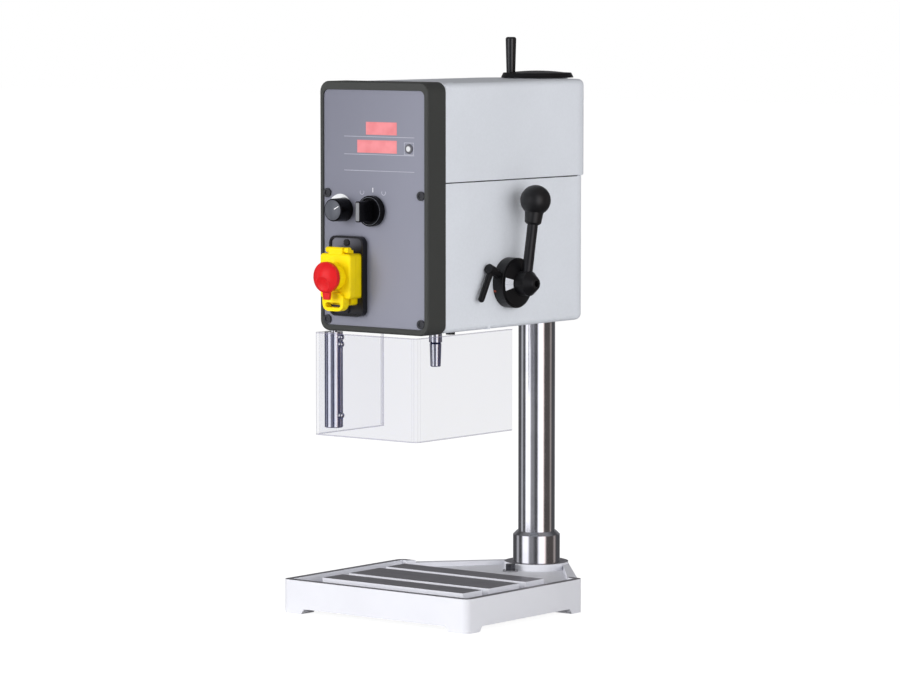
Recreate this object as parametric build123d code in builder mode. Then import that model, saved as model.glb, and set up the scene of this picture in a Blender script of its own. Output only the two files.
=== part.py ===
from build123d import *
import math
import os

# Bench drill press. Millimetres, +Z up, +Y to the back, +X to the operator's right.
# The origin is on the bench, straight below the spindle, at the middle of the four bench holes.

# Clearances, and how far two shapes of one casting run into each other
shaft_clearance = 0.05
press_clearance = 0.02
face_gap = 0.3
tooth_backlash = 0.5
fuse_overlap = 1.0

# Base casting
base_half_width = 155.5
base_front = -130.5
base_back = 119.5
base_corner = 10.0
foot_height = 7.0
foot_length = 37.0
foot_depth = 31.0
foot_slant = 5.0
rim_top = 44.5
rim_width = 10.0
channel_floor = 24.0
floor_thickness = 8.0
base_wall = 8.0
table_proud = 0.5
table_half_width = 118.0
table_front = -92.0
table_back = 81.0
front_strip = 41.0
back_strip = 39.5
slot_width = 14.0
tee_width = 24.0
tee_height = 9.0
apron_top = 41.0
apron_depth = 6.0
apron_rim = 8.0
boss_radius = 43.5
boss_rise = 3.0
bench_hole_side_inset = 20.5
bench_hole_front_inset = 20.5
bench_hole_back_inset = 9.5
bench_hole_radius = 3.4
bench_hole_depth = 14.0
corner_boss = 34.0

# Column
column_y = 221.0
column_radius = 25.0
column_bore = 19.0
column_foot = 12.0
column_top = 535.0
collar_radius = 32.0
collar_height = 42.0
collar_chamfer = 5.0

# Hold-down screw on the apron floor
hold_down_x = -2.5
hold_down_y = 166.2
screw_head_radius = 6.5
screw_head_height = 8.0
screw_shank_radius = 4.0
screw_socket = 6.0
washer_radius = 10.5
washer_thickness = 2.0

# Head casing
casing_half_width = 90.0
casing_front = -92.0
casing_back = 217.0
casing_corner = 26.0
casing_bottom = 379.5
casing_height = 193.5
casing_edge = 8.0
seam_bevel = 0.9
casing_wall = 6.0
casing_floor = 8.0
cover_gap = 0.4
cover_height = 128.1
cover_overhang = 16.0
cover_corner = 42.0
cover_edge = 8.0
cover_wall = 4.0
tower_radius = 41.0
tower_proud = 0.5
tower_plate = 12.0
tower_slot = 0.6
cover_screw_inset = 13.0
cover_screw_front_inset = 26.0
cover_screw_back_inset = 57.0
cover_screw_radius = 2.5
cover_screw_head = 6.0
cover_recess_radius = 6.5
cover_screw_sink = 0.8
cover_recess_depth = 4.0
cover_post_radius = 8.5
casing_post_height = 28.0
low_screw_height = 3.0

# Front frame and panel
frame_depth = 37.0
frame_drop = 1.5
frame_rise = 1.5
frame_corner = 14.0
frame_edge = 2.5
panel_recess = 1.8
panel_thickness = 3.2
frame_lip = 6.0
frame_sill = 8.0
frame_head = 11.0
panel_corner = 7.8
panel_gap = 0.2
ledge_width = 13.0
ledge_thickness = 4.0
panel_screw_inset = 6.0
panel_screw_drop = 134.2
panel_screw_rise = 7.0
panel_screw_head = 6.0
panel_screw_height = 2.4
panel_screw_shank = 2.0
panel_screw_length = 5.0

# Panel instruments
display_inset = 46.3
speed_display_width = 51.0
speed_display_drop = 49.2
depth_display_width = 65.6
depth_display_drop = 72.6
display_height = 16.5
display_proud = 0.3
key_inset = 26.2
key_drop = 74.3
key_radius = 6.0
key_travel = 1.0
key_flange = 0.8
key_lip = 1.5
key_proud = 1.5
key_edge = 0.5
board_gap = 8.0
board_thickness = 1.6
board_inset = 11.0
board_drop = 11.0
board_height = 89.0
standoff_radius = 3.0
key_switch_half = 5.0
drive_spacing = 40.0
drive_block = 24.0
drive_depth = 14.0
drive_rise = 10.0
knob_inset = 33.5
knob_drop = 155.3
knob_radius = 15.5
knob_height = 23.0
knob_taper = 2.0
knob_edge = 1.5
knob_shaft = 3.0
pot_radius = 12.0
pot_depth = 18.0
mode_x = -2.2
mode_drop = 155.7
mode_ring_radius = 20.0
mode_ring_height = 8.0
mode_disc_radius = 17.0
mode_disc_height = 5.5
mode_bar_width = 8.5
mode_bar_length = 28.0
mode_reach = 31.0
mode_bar_corner = 2.8
mode_taper = 1.0
mode_edge = 1.0
mode_shaft = 4.0
mode_body_size = 36.0
mode_body_depth = 26.0

# Safety switch
switch_inset = 43.8
plate_rise = 64.8
box_side_gap = 0.25
plate_height = 104.2
plate_corner = 10.0
plate_thickness = 9.0
plate_rim = 2.5
plate_recess = 2.5
plate_screw_offset = 43.5
plate_screw_radius = 4.5
plate_screw_height = 2.0
plate_screw_slot = 1.2
box_rise = 1.2
box_width = 51.2
box_height = 58.2
box_depth = 13.3
box_wall = 4.0
box_floor = 3.0
lid_depth = 11.4
lid_corner = 5.0
lid_edge = 3.0
hinge_length = 37.0
hinge_radius = 3.8
hinge_pin_radius = 1.8
hinge_rise = 4.6
hinge_lug = 7.0
knuckle_root = 4.0
knuckle_inset = 1.0
knuckle_edge = 1.5
hasp_width = 35.0
hasp_drop = 16.0
hasp_thickness = 11.0
hasp_root = 8.0
hasp_corner = 10.0
hasp_slot_length = 25.0
hasp_slot_width = 6.4
hasp_proud = 4.0
staple_drop = 9.0
staple_root = 6.0
staple_corner = 3.5
stop_collar_radius = 18.0
stop_collar_height = 10.3
stop_radius = 20.0
stop_gap = 3.5
stop_rim = 5.5
stop_dome = 7.0
stop_stem = 8.0
stop_travel = 3.0
stop_drop = 0.5
stop_dent_radius = 10.0
stop_dent_depth = 1.6
stop_dent_drop = 8.5
tongue_width = 9.0
tongue_root_width = 19.0
tongue_reach = 29.0
tongue_thickness = 4.0
tongue_neck = 8.0
start_radius = 8.5
start_rise = 12.5
start_height = 5.0
start_travel = 1.5

# Quill and spindle, on the origin's axis
quill_radius = 20.0
quill_rise = 1.5
quill_length = 164.0
quill_bore = 11.0
sleeve_radius = 30.0
sleeve_room = 11.0
bearing_radius = 16.0
bearing_bore = 7.5
bearing_width = 9.0
bearing_spacing = 2.0
spindle_collar_radius = 8.7
spindle_collar_gap = 2.0
spindle_collar_length = 21.0
spindle_groove = 2.0
spindle_groove_radius = 7.0
taper_big = 7.87
taper_small = 6.85
taper_length = 30.3
taper_chamfer = 1.0
spline_radius = 7.0
spline_room = 9.5
key_width = 4.0
key_height = 2.0
feed_travel = 65.0

# Belt drive under the cover
carrier_radius = 34.0
carrier_height = 36.0
carrier_bearing_radius = 23.5
carrier_bearing_width = 12.0
pulley_hub_radius = 12.5
pulley_rise = 14.0
pulley_height = 30.0
spindle_pulley_radius = 40.0
motor_pulley_radius = 25.0
belt_width = 24.0
belt_thickness = 3.0
motor_gap = 9.0
motor_radius = 49.0
motor_length = 113.0
motor_plate_thickness = 8.0
motor_plate_gap = 2.0
motor_plate_ahead = 56.0
motor_plate_behind = 54.0
motor_shaft_radius = 7.0
motor_wall = 6.0
motor_plate_hole = 21.0
ledge_depth = 14.0
ledge_height = 20.0

# Feed shaft and lever
rack_depth = 1.5
feed_rise = 59.1
feed_shaft_radius = 10.0
tooth_module = 1.5
pinion_teeth = 28
pinion_width = 22.0
pinion_room = 3.0
pressure_angle = 20.0
root_depth = 1.875
rack_spare_teeth = 4
feed_boss_radius = 18.0
feed_bush_radius = 13.0
feed_boss_length = 32.0
spring_cup_radius = 31.0
spring_cup_width = 15.0
spring_cup_wall = 2.0
spring_turns = 5
spring_steps = 12
spring_thickness = 0.8
spring_width = 10.0
depth_ring_radius = 33.0
depth_ring_width = 16.0
depth_ring_edge = 1.0
dial_outer = 31.0
dial_inner = 16.5
dial_width = 5.6
dial_rim = 1.0
dial_gap = 0.4
scale_angle = 34.0
scale_inner = 17.5
scale_outer = 29.5
scale_thickness = 0.4
hub_length = 24.6
hub_tip_radius = 9.0
hub_radius = 16.2
hub_chamfer = 1.5
hub_cap = 8.0
hub_socket = 8.0
hub_socket_depth = 7.0
lever_inset = 7.0
lever_radius = 7.0
lever_seat = 1.0
ball_radius = 20.0
ball_out = 5.6
ball_back = 13.0
ball_rise = 108.4
ferrule_radius = 12.6
ferrule_foot_radius = 10.6
ferrule_length = 12.0
ferrule_sink = 8.0
ferrule_edge = 2.5
clamp_forward = 46.7
clamp_rise = 19.2
clamp_boss_radius = 4.5
clamp_boss_root = 3.0
clamp_hub_radius = 6.5
clamp_hub_length = 11.0
clamp_arm_radius = 4.3
clamp_arm_drop = 37.0
clamp_arm_lean = 20.5

# Height crank on the column's axis
lift_screw_radius = 8.0
lift_screw_length = 362.4
lift_nut_height = 24.0
lift_collar_radius = 16.0
lift_collar_height = 5.0
lift_bearing_height = 6.0
wheel_radius = 49.0
wheel_gap = 0.4
wheel_rim = 6.5
wheel_edge = 3.0
wheel_foot = 0.4
wheel_dome = 2.8
wheel_dome_radius = 40.0
grip_reach_x = -28.0
grip_reach_y = -22.0
grip_length = 47.8
grip_radius = 7.3
grip_foot_radius = 6.0
grip_pin_radius = 3.0
grip_seat = 2.0
grip_pin_floor = 2.0
grip_cap = 6.0
grip_edge = 3.0

# Guard
guard_left_out = 3.0
guard_right_in = 9.0
guard_forward = 12.0
guard_left_back = 0.5
guard_right_back = 60.0
guard_gap = 2.4
guard_height = 134.3
guard_sheet = 4.0
guard_bend = 8.0
post_inset = 13.0
post_back = 12.0
post_radius = 12.0
post_rise = 8.7
post_journal = 4.5
post_journal_length = 34.4
post_boss = 6.8
post_cap = 2.0
post_edge = 1.0
guard_screw_radius = 4.6
guard_screw_shank = 2.0
guard_screw_drops = (6.6, 16.0, 109.4)
interlock_gap = 1.0
interlock_width = 23.0
interlock_depth = 11.0

# Back of the head
clamp_lever_rise = 70.5
clamp_lever_hub = 9.0
clamp_lever_hub_length = 18.0
clamp_lever_stud = 5.0
clamp_lever_arm_radius = 4.2
clamp_lever_ball = 7.5
clamp_lever_arm = 58.0
gland_x = -52.0
gland_rise = 32.5
gland_radius = 11.0
gland_length = 18.0
gland_bore = 4.0
gland_wall = 2.0
gland_nose_radius = 8.25


# Places worked out from the sizes above
base_middle = (base_front + base_back) / 2
base_depth = base_back - base_front
table_top = rim_top + table_proud
apron_floor = apron_top - apron_depth
boss_top = apron_top + boss_rise
bench_hole_x = base_half_width - bench_hole_side_inset
bench_hole_front = base_front + bench_hole_front_inset
bench_hole_back = base_back - bench_hole_back_inset
bench_hole_places = [
    (side * bench_hole_x, place)
    for side in (-1, 1)
    for place in (bench_hole_front, bench_hole_back)
]
front_slot = table_front + front_strip + slot_width / 2
back_slot = table_back - back_strip - slot_width / 2
collar_top = boss_top + collar_height
washer_top = apron_floor + washer_thickness
casing_floor_top = casing_bottom + casing_floor
casing_seam = casing_bottom + casing_height
cover_bottom = casing_seam + cover_gap
cover_top = cover_bottom + cover_height
cover_back = casing_back + cover_overhang
tower_top = cover_top + tower_proud
cover_screw_x = casing_half_width - cover_screw_inset
cover_screw_front = casing_front + cover_screw_front_inset
cover_screw_back = casing_back - cover_screw_back_inset
frame_front = casing_front - frame_depth
frame_bottom = casing_bottom - frame_drop
frame_top = cover_top + frame_rise
panel_bottom = frame_bottom + frame_sill
panel_top = frame_top - frame_head
panel_half_width = casing_half_width - frame_lip
panel_screw_x = panel_half_width - panel_screw_inset
board_half_width = panel_half_width - board_inset
motor_plate_half = casing_half_width - casing_wall - motor_plate_gap
feed_boss_inner = casing_half_width - feed_boss_length
guard_left = -casing_half_width - guard_left_out
guard_right = casing_half_width - guard_right_in
guard_front = frame_front - guard_forward
guard_top = frame_bottom - guard_gap
guard_bottom = guard_top - guard_height
guard_screw_heights = [guard_top - drop for drop in guard_screw_drops]
post_x = post_inset - casing_half_width
post_y = frame_front + post_back
post_bottom = guard_bottom + post_rise
post_journal_top = guard_top + post_journal_length
panel_face = frame_front + panel_recess
panel_back = panel_face + panel_thickness
ledge_back = panel_back + ledge_thickness
frame_middle = (frame_bottom + frame_top) / 2
panel_middle = (panel_bottom + panel_top) / 2
panel_height = panel_top - panel_bottom
panel_screw_high = panel_top - panel_screw_drop
panel_screw_low = panel_bottom + panel_screw_rise
display_right = panel_half_width - display_inset
speed_display_middle = panel_top - speed_display_drop
depth_display_middle = panel_top - depth_display_drop
key_x = panel_half_width - key_inset
key_z = panel_top - key_drop
board_front = panel_back + board_gap
board_top = panel_top - board_drop
board_bottom = board_top - board_height
knob_x = knob_inset - panel_half_width
knob_z = panel_top - knob_drop
mode_z = panel_top - mode_drop
switch_x = switch_inset - panel_half_width
plate_z = panel_bottom + plate_rise
plate_width = box_width + 2 * (plate_rim + box_side_gap)
plate_face = panel_face - plate_thickness
plate_floor = plate_face + plate_recess
box_z = plate_z + box_rise
box_face = plate_floor - box_depth
box_inside = plate_floor - box_floor
lid_back = box_face - face_gap
lid_face = lid_back - lid_depth
lid_top = box_z + box_height / 2
lid_bottom = box_z - box_height / 2
hinge_y = lid_back - hinge_radius
hinge_z = lid_top + hinge_rise
collar_face = lid_face - stop_collar_height
stop_back = collar_face - stop_gap
stop_z = box_z - stop_drop
stop_apex = stop_back - stop_rim - stop_dome
dome_radius = (stop_radius**2 + stop_dome**2) / (2 * stop_dome)
quill_bottom = casing_bottom + quill_rise
quill_top = quill_bottom + quill_length
sleeve_top = quill_top + sleeve_room
spindle_collar_top = quill_bottom - spindle_collar_gap
spindle_collar_bottom = spindle_collar_top - spindle_collar_length
taper_top = spindle_collar_bottom - spindle_groove
taper_bottom = taper_top - taper_length
spline_top = cover_top - cover_wall - spline_room
carrier_top = sleeve_top + carrier_height
pitch_radius = tooth_module * pinion_teeth / 2
tooth_pitch = math.pi * tooth_module
base_circle = pitch_radius * math.cos(math.radians(pressure_angle))
root_circle = pitch_radius - root_depth
tip_circle = pitch_radius + tooth_module
rack_line = quill_radius - rack_depth
feed_y = rack_line + pitch_radius
feed_z = casing_bottom + feed_rise
pair_top = quill_bottom + 2 * bearing_width + bearing_spacing
side_face = casing_half_width
depth_ring_face = side_face + depth_ring_width
dial_back = depth_ring_face + dial_gap
dial_face = dial_back + dial_width
hub_back = dial_face + dial_gap
hub_tip = hub_back + hub_length
shaft_end = hub_tip - hub_cap
lever_x = hub_back + lever_inset
clamp_x = side_face + depth_ring_width / 2
clamp_y = feed_y - clamp_forward
clamp_z = feed_z + clamp_rise
motor_top = casing_seam - motor_plate_thickness
motor_bottom = motor_top - motor_length
motor_y = column_y - tower_radius - motor_gap - motor_radius
motor_plate_front = motor_y - motor_plate_ahead
motor_plate_back = motor_y + motor_plate_behind
pulley_bottom = carrier_top + pulley_rise
pulley_middle = pulley_bottom + pulley_height / 2
pulley_top = pulley_bottom + pulley_height
flange = (pulley_height - belt_width) / 2 - face_gap
tower_plate_bottom = tower_top - tower_plate
tower_back = column_y + tower_radius
clamp_lever_z = casing_bottom + clamp_lever_rise
gland_z = casing_bottom + gland_rise
wheel_bottom = tower_top + wheel_gap
wheel_face = wheel_bottom + wheel_rim + wheel_dome
lift_screw_bottom = wheel_bottom - lift_screw_length
grip_x = grip_reach_x
grip_y = column_y + grip_reach_y
grip_bottom = wheel_bottom + wheel_rim + face_gap
grip_top = grip_bottom + grip_length
pin_bottom = wheel_bottom + grip_pin_floor
pin_top = grip_top - grip_cap
screw_places = [
    (side * cover_screw_x, place)
    for side in (-1, 1)
    for place in (cover_screw_front, cover_screw_back)
]
panel_screw_places = [
    (side * panel_screw_x, height)
    for side in (-1, 1)
    for height in (panel_screw_low, panel_screw_high)
]
lever_start = Vector(lever_x, feed_y, feed_z)
lever_run = Vector(ball_out, ball_back, ball_rise)
ball_place = lever_start + lever_run
lever_plane = Plane(origin=lever_start, z_dir=lever_run)
feed_axis = Axis((0, feed_y, feed_z), (1, 0, 0))
feed_plane = Plane(origin=(0, feed_y, feed_z), x_dir=(1, 0, 0), z_dir=(0, 0, 1))
column_axis = Axis((0, column_y, 0), (0, 0, 1))
column_plane = Plane(origin=(0, column_y, 0), x_dir=(1, 0, 0), z_dir=(0, -1, 0))


def front_plane(y):
    """A plane facing the operator at this Y, with X to the right and Z up."""
    return Plane.XZ.offset(-y)


def bar_up(x, y, low, high, radius, mode=Mode.ADD):
    """A round bar standing upright."""
    with Locations((x, y, low)):
        Cylinder(radius, high - low, align=(Align.CENTER, Align.CENTER, Align.MIN), mode=mode)


def bar_across(y, z, left, right, radius, mode=Mode.ADD):
    """A round bar along X."""
    with Locations(Location((left, y, z), (0, 90, 0))):
        Cylinder(radius, right - left, align=(Align.CENTER, Align.CENTER, Align.MIN), mode=mode)


def bar_back(x, z, front, back, radius, mode=Mode.ADD):
    """A round bar along Y."""
    with Locations(Location((x, front, z), (-90, 0, 0))):
        Cylinder(radius, back - front, align=(Align.CENTER, Align.CENTER, Align.MIN), mode=mode)


def block(left, right, front, back, low, high, mode=Mode.ADD):
    """A box between these faces."""
    with Locations(((left + right) / 2, (front + back) / 2, (low + high) / 2)):
        Box(right - left, back - front, high - low, mode=mode)


def rounded_back(half_width, front, back, corner):
    """A plan outline with its two back corners rounded, drawn in the active sketch."""
    with BuildLine() as outline:
        Polyline(
            (-half_width, front),
            (half_width, front),
            (half_width, back - corner),
        )
        RadiusArc(
            (half_width, back - corner),
            (half_width - corner, back),
            -corner,
        )
        Line((half_width - corner, back), (corner - half_width, back))
        RadiusArc(
            (corner - half_width, back),
            (-half_width, back - corner),
            -corner,
        )
        Line((-half_width, back - corner), (-half_width, front))
    make_face(outline.edges())


def half_angle(radius):
    """Half the angle that a pinion tooth fills at this radius, from its involute."""
    angle = math.acos(min(1, base_circle / radius))
    start = math.radians(pressure_angle)
    half = (tooth_pitch - tooth_backlash) / (4 * pitch_radius)
    return half + (math.tan(start) - start) - (math.tan(angle) - angle)


os.makedirs("parts", exist_ok=True)

# Base casting: rimmed table with two tee slots, and an apron that tapers back to the column boss
with BuildPart() as base_casting:
    with BuildSketch(Plane.XY.offset(foot_height)):
        with Locations((0, base_middle)):
            RectangleRounded(2 * base_half_width, base_depth, base_corner)
    extrude(amount=rim_top - foot_height)
    with BuildSketch(Plane.XY.offset(foot_height)):
        with Locations((0, column_y)):
            Circle(boss_radius)
        with Locations((0, base_back - base_corner)):
            Rectangle(2 * base_half_width, fuse_overlap)
        make_hull()
    extrude(amount=apron_top - foot_height)
    with BuildSketch():
        with Locations((0, base_middle)):
            RectangleRounded(2 * base_half_width, base_depth, base_corner)
            Rectangle(2 * (base_half_width - foot_length), base_depth, mode=Mode.SUBTRACT)
            Rectangle(2 * base_half_width, base_depth - 2 * foot_depth, mode=Mode.SUBTRACT)
        with Locations((0, column_y)):
            Circle(boss_radius - base_wall)
    extrude(amount=foot_height)
    # slanted inner ends of the feet
    foot_inner = base_half_width - foot_length
    for side in (-1, 1):
        with BuildSketch(Plane.XZ):
            with BuildLine():
                Polyline(
                    (side * foot_inner, foot_height),
                    (side * foot_inner, 0),
                    (side * (foot_inner + foot_slant), 0),
                    close=True,
                )
            make_face()
        extrude(amount=base_depth, both=True, mode=Mode.SUBTRACT)
        foot_end = base_middle + side * (base_depth / 2 - foot_depth)
        with BuildSketch(Plane.YZ):
            with BuildLine():
                Polyline(
                    (foot_end, foot_height),
                    (foot_end, 0),
                    (foot_end + side * foot_slant, 0),
                    close=True,
                )
            make_face()
        extrude(amount=base_half_width, both=True, mode=Mode.SUBTRACT)
    bar_up(0, column_y, foot_height, boss_top, boss_radius)
    # channel around the table
    with BuildSketch(Plane.XY.offset(channel_floor)):
        with Locations((0, base_middle)):
            Rectangle(2 * (base_half_width - rim_width), base_depth - 2 * rim_width)
        with Locations((0, (table_front + table_back) / 2)):
            Rectangle(2 * table_half_width, table_back - table_front, mode=Mode.SUBTRACT)
    extrude(amount=rim_top, mode=Mode.SUBTRACT)
    block(
        -table_half_width, table_half_width, table_front, table_back, channel_floor, table_top
    )
    for slot in (front_slot, back_slot):
        block(
            -table_half_width, table_half_width, slot - slot_width / 2, slot + slot_width / 2,
            channel_floor, table_top, mode=Mode.SUBTRACT,
        )
        block(
            -table_half_width, table_half_width, slot - tee_width / 2, slot + tee_width / 2,
            channel_floor, channel_floor + tee_height, mode=Mode.SUBTRACT,
        )
    # apron recess, open to the channel in front of it, and the hollow under it
    for low, high, start in (
        (apron_floor, rim_top, base_back - rim_width),
        (0, apron_floor - floor_thickness, base_back + fuse_overlap),
    ):
        with BuildSketch(Plane.XY.offset(low)):
            with Locations((0, column_y)):
                Circle(boss_radius - apron_rim)
            with Locations((0, start)):
                Rectangle(2 * (base_half_width - rim_width - apron_rim), fuse_overlap)
            make_hull()
            with Locations((0, column_y)):
                Circle(boss_radius, mode=Mode.SUBTRACT)
        extrude(amount=high - low, mode=Mode.SUBTRACT)
    # hollow under the table, with a solid boss over each foot
    with BuildSketch():
        with Locations((0, base_middle)):
            Rectangle(2 * (base_half_width - base_wall), base_depth - 2 * base_wall)
        with Locations(bench_hole_places):
            Rectangle(corner_boss, corner_boss, mode=Mode.SUBTRACT)
    extrude(amount=channel_floor - floor_thickness, mode=Mode.SUBTRACT)
    bar_up(
        0, column_y, column_foot, boss_top, column_radius + press_clearance, mode=Mode.SUBTRACT
    )
    with Locations([(x, y, 0) for x, y in bench_hole_places]):
        Cylinder(
            bench_hole_radius, bench_hole_depth,
            align=(Align.CENTER, Align.CENTER, Align.MIN), mode=Mode.SUBTRACT,
        )
    bar_up(
        hold_down_x, hold_down_y, 0, apron_floor,
        screw_shank_radius + press_clearance, mode=Mode.SUBTRACT,
    )
base_casting.part.label = "base_casting"
export_step(base_casting.part, "parts/base_casting.step")

# Column tube and the collar at its foot
with BuildPart() as column:
    bar_up(0, column_y, column_foot, column_top, column_radius)
    bar_up(0, column_y, column_foot, column_top, column_bore, mode=Mode.SUBTRACT)
column.part.label = "column"
export_step(column.part, "parts/column.step")

with BuildPart() as column_collar:
    bar_up(0, column_y, boss_top, collar_top, collar_radius)
    chamfer(column_collar.faces().sort_by(Axis.Z)[-1].edges(), collar_chamfer)
    bar_up(
        0, column_y, boss_top, collar_top, column_radius + press_clearance, mode=Mode.SUBTRACT
    )
column_collar.part.label = "column_collar"
export_step(column_collar.part, "parts/column_collar.step")

# Nut that the height screw runs in, held in the top of the column
with BuildPart() as lift_nut:
    bar_up(
        0, column_y, column_top - lift_nut_height, column_top, column_bore - press_clearance
    )
    bar_up(
        0, column_y, column_top - lift_nut_height, column_top,
        lift_screw_radius + shaft_clearance, mode=Mode.SUBTRACT,
    )
lift_nut.part.label = "lift_nut"
export_step(lift_nut.part, "parts/lift_nut.step")

with BuildPart() as hold_down_washer:
    bar_up(hold_down_x, hold_down_y, apron_floor, washer_top, washer_radius)
    bar_up(
        hold_down_x, hold_down_y, apron_floor, washer_top,
        screw_shank_radius + press_clearance, mode=Mode.SUBTRACT,
    )
hold_down_washer.part.label = "hold_down_washer"
export_step(hold_down_washer.part, "parts/hold_down_washer.step")

with BuildPart() as hold_down_screw:
    bar_up(hold_down_x, hold_down_y, washer_top, washer_top + screw_head_height, screw_head_radius)
    bar_up(hold_down_x, hold_down_y, foot_height, washer_top, screw_shank_radius)
    with BuildSketch(Plane.XY.offset(washer_top + screw_head_height)):
        with Locations((hold_down_x, hold_down_y)):
            RegularPolygon(screw_socket / 2, 6, major_radius=False)
    extrude(amount=-screw_head_height / 2, mode=Mode.SUBTRACT)
hold_down_screw.part.label = "hold_down_screw"
export_step(hold_down_screw.part, "parts/hold_down_screw.step")

# Head casting: casing walls and floor, quill sleeve, column tower and feed shaft bosses
with BuildPart() as head_casting:
    with BuildSketch(Plane.XY.offset(casing_bottom)):
        rounded_back(casing_half_width, casing_front, casing_back, casing_corner)
    extrude(amount=casing_seam - casing_bottom)
    bottom_edges = head_casting.faces().sort_by(Axis.Z)[0].edges().sort_by(Axis.Y)
    fillet(bottom_edges[1:], casing_edge)
    seam_edges = head_casting.faces().sort_by(Axis.Z)[-1].edges().sort_by(Axis.Y)
    chamfer(seam_edges[1:], seam_bevel)
    with BuildSketch(Plane.XY.offset(casing_floor_top)):
        rounded_back(
            casing_half_width - casing_wall, casing_front,
            casing_back - casing_wall, casing_corner - casing_wall,
        )
    extrude(amount=casing_seam - casing_floor_top, mode=Mode.SUBTRACT)
    bar_up(0, 0, casing_bottom, sleeve_top, sleeve_radius)
    bar_up(0, 0, sleeve_top - 2 * casing_wall, carrier_top, carrier_radius)
    bar_up(0, column_y, casing_bottom, tower_top, tower_radius)
    # ribs that tie the sleeve to the walls and the tower
    rib_top = feed_z - pitch_radius - 2 * tooth_module - 2 * face_gap
    block(
        -casing_wall / 2, casing_wall / 2, quill_radius, column_y - column_radius - fuse_overlap,
        casing_bottom, rib_top,
    )
    block(
        fuse_overlap - casing_half_width, casing_half_width - fuse_overlap,
        -casing_wall / 2, casing_wall / 2,
        casing_bottom, feed_z,
    )
    for side in (-1, 1):
        ends = sorted((side * feed_boss_inner, side * (casing_half_width - fuse_overlap)))
        bar_across(feed_y, feed_z, ends[0], ends[1], feed_boss_radius)
        ends = sorted(
            (side * (casing_half_width - fuse_overlap), side * (motor_plate_half - ledge_depth))
        )
        block(
            ends[0], ends[1], motor_plate_front, motor_plate_back,
            motor_top - ledge_height, motor_top,
        )
    for x, y in screw_places:
        bar_up(x, y, casing_seam - casing_post_height, casing_seam, cover_post_radius)
    # bores for the quill, its bearing carrier, the column and the height screw
    bar_up(0, 0, casing_bottom, sleeve_top, quill_radius + shaft_clearance, mode=Mode.SUBTRACT)
    bar_up(0, 0, sleeve_top, carrier_top, carrier_bearing_radius, mode=Mode.SUBTRACT)
    bar_up(
        0, column_y, casing_bottom, tower_plate_bottom, column_radius + shaft_clearance,
        mode=Mode.SUBTRACT,
    )
    bar_up(
        0, column_y, tower_plate_bottom, tower_top, lift_screw_radius + shaft_clearance,
        mode=Mode.SUBTRACT,
    )
    # room for the pinion, and the bush seats in the side walls
    bar_across(
        feed_y, feed_z, -pinion_width / 2 - pinion_room, pinion_width / 2 + pinion_room,
        pitch_radius + 2 * tooth_module, mode=Mode.SUBTRACT,
    )
    bar_across(
        feed_y, feed_z, -casing_half_width, casing_half_width, feed_bush_radius,
        mode=Mode.SUBTRACT,
    )
    for x, y in screw_places:
        bar_up(
            x, y, casing_seam - casing_post_height, casing_seam, cover_screw_radius,
            mode=Mode.SUBTRACT,
        )
    for x in (-cover_screw_x, cover_screw_x):
        bar_up(
            x, cover_screw_front, casing_bottom, casing_floor_top, cover_screw_radius,
            mode=Mode.SUBTRACT,
        )
    bar_back(
        0, clamp_lever_z, column_y + column_radius - fuse_overlap, tower_back,
        clamp_lever_stud + shaft_clearance, mode=Mode.SUBTRACT,
    )
    bar_back(
        gland_x, gland_z, casing_back - casing_wall - fuse_overlap, casing_back,
        gland_bore + gland_wall, mode=Mode.SUBTRACT,
    )
head_casting.part.label = "head_casting"
export_step(head_casting.part, "parts/head_casting.step")

# Top cover over the belt drive
with BuildPart() as top_cover:
    with BuildSketch(Plane.XY.offset(cover_bottom)):
        rounded_back(casing_half_width, casing_front, cover_back, cover_corner)
    extrude(amount=cover_top - cover_bottom)
    top_edges = top_cover.faces().sort_by(Axis.Z)[-1].edges().sort_by(Axis.Y)
    fillet(top_edges[1:], cover_edge)
    seam_edges = top_cover.faces().sort_by(Axis.Z)[0].edges().sort_by(Axis.Y)
    chamfer(seam_edges[1:], seam_bevel)
    with BuildSketch(Plane.XY.offset(cover_bottom)):
        rounded_back(
            casing_half_width - cover_wall, casing_front,
            cover_back - cover_wall, cover_corner - cover_wall,
        )
    extrude(amount=cover_top - cover_wall - cover_bottom, mode=Mode.SUBTRACT)
    for x, y in screw_places:
        bar_up(x, y, cover_bottom, cover_top - fuse_overlap, cover_post_radius)
        bar_up(
            x, y, cover_top - cover_recess_depth, cover_top, cover_recess_radius,
            mode=Mode.SUBTRACT,
        )
        bar_up(x, y, cover_bottom, cover_top, cover_screw_radius, mode=Mode.SUBTRACT)
    bar_up(0, column_y, cover_bottom, cover_top, tower_radius + tower_slot, mode=Mode.SUBTRACT)
top_cover.part.label = "top_cover"
export_step(top_cover.part, "parts/top_cover.step")

# Long cover screws from above, and two low heads under the casing's front corners
with BuildPart() as casing_screws:
    head_seat = cover_top - cover_recess_depth
    for x, y in screw_places:
        bar_up(x, y, head_seat, cover_top - cover_screw_sink, cover_screw_head)
        bar_up(
            x, y, casing_seam - casing_post_height / 2, head_seat, cover_screw_radius
        )
    for x in (-cover_screw_x, cover_screw_x):
        bar_up(
            x, cover_screw_front, casing_bottom - low_screw_height, casing_bottom,
            cover_screw_head,
        )
        bar_up(x, cover_screw_front, casing_bottom, casing_floor_top, cover_screw_radius)
casing_screws.part.label = "casing_screws"
export_step(casing_screws.part, "parts/casing_screws.step")

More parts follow.
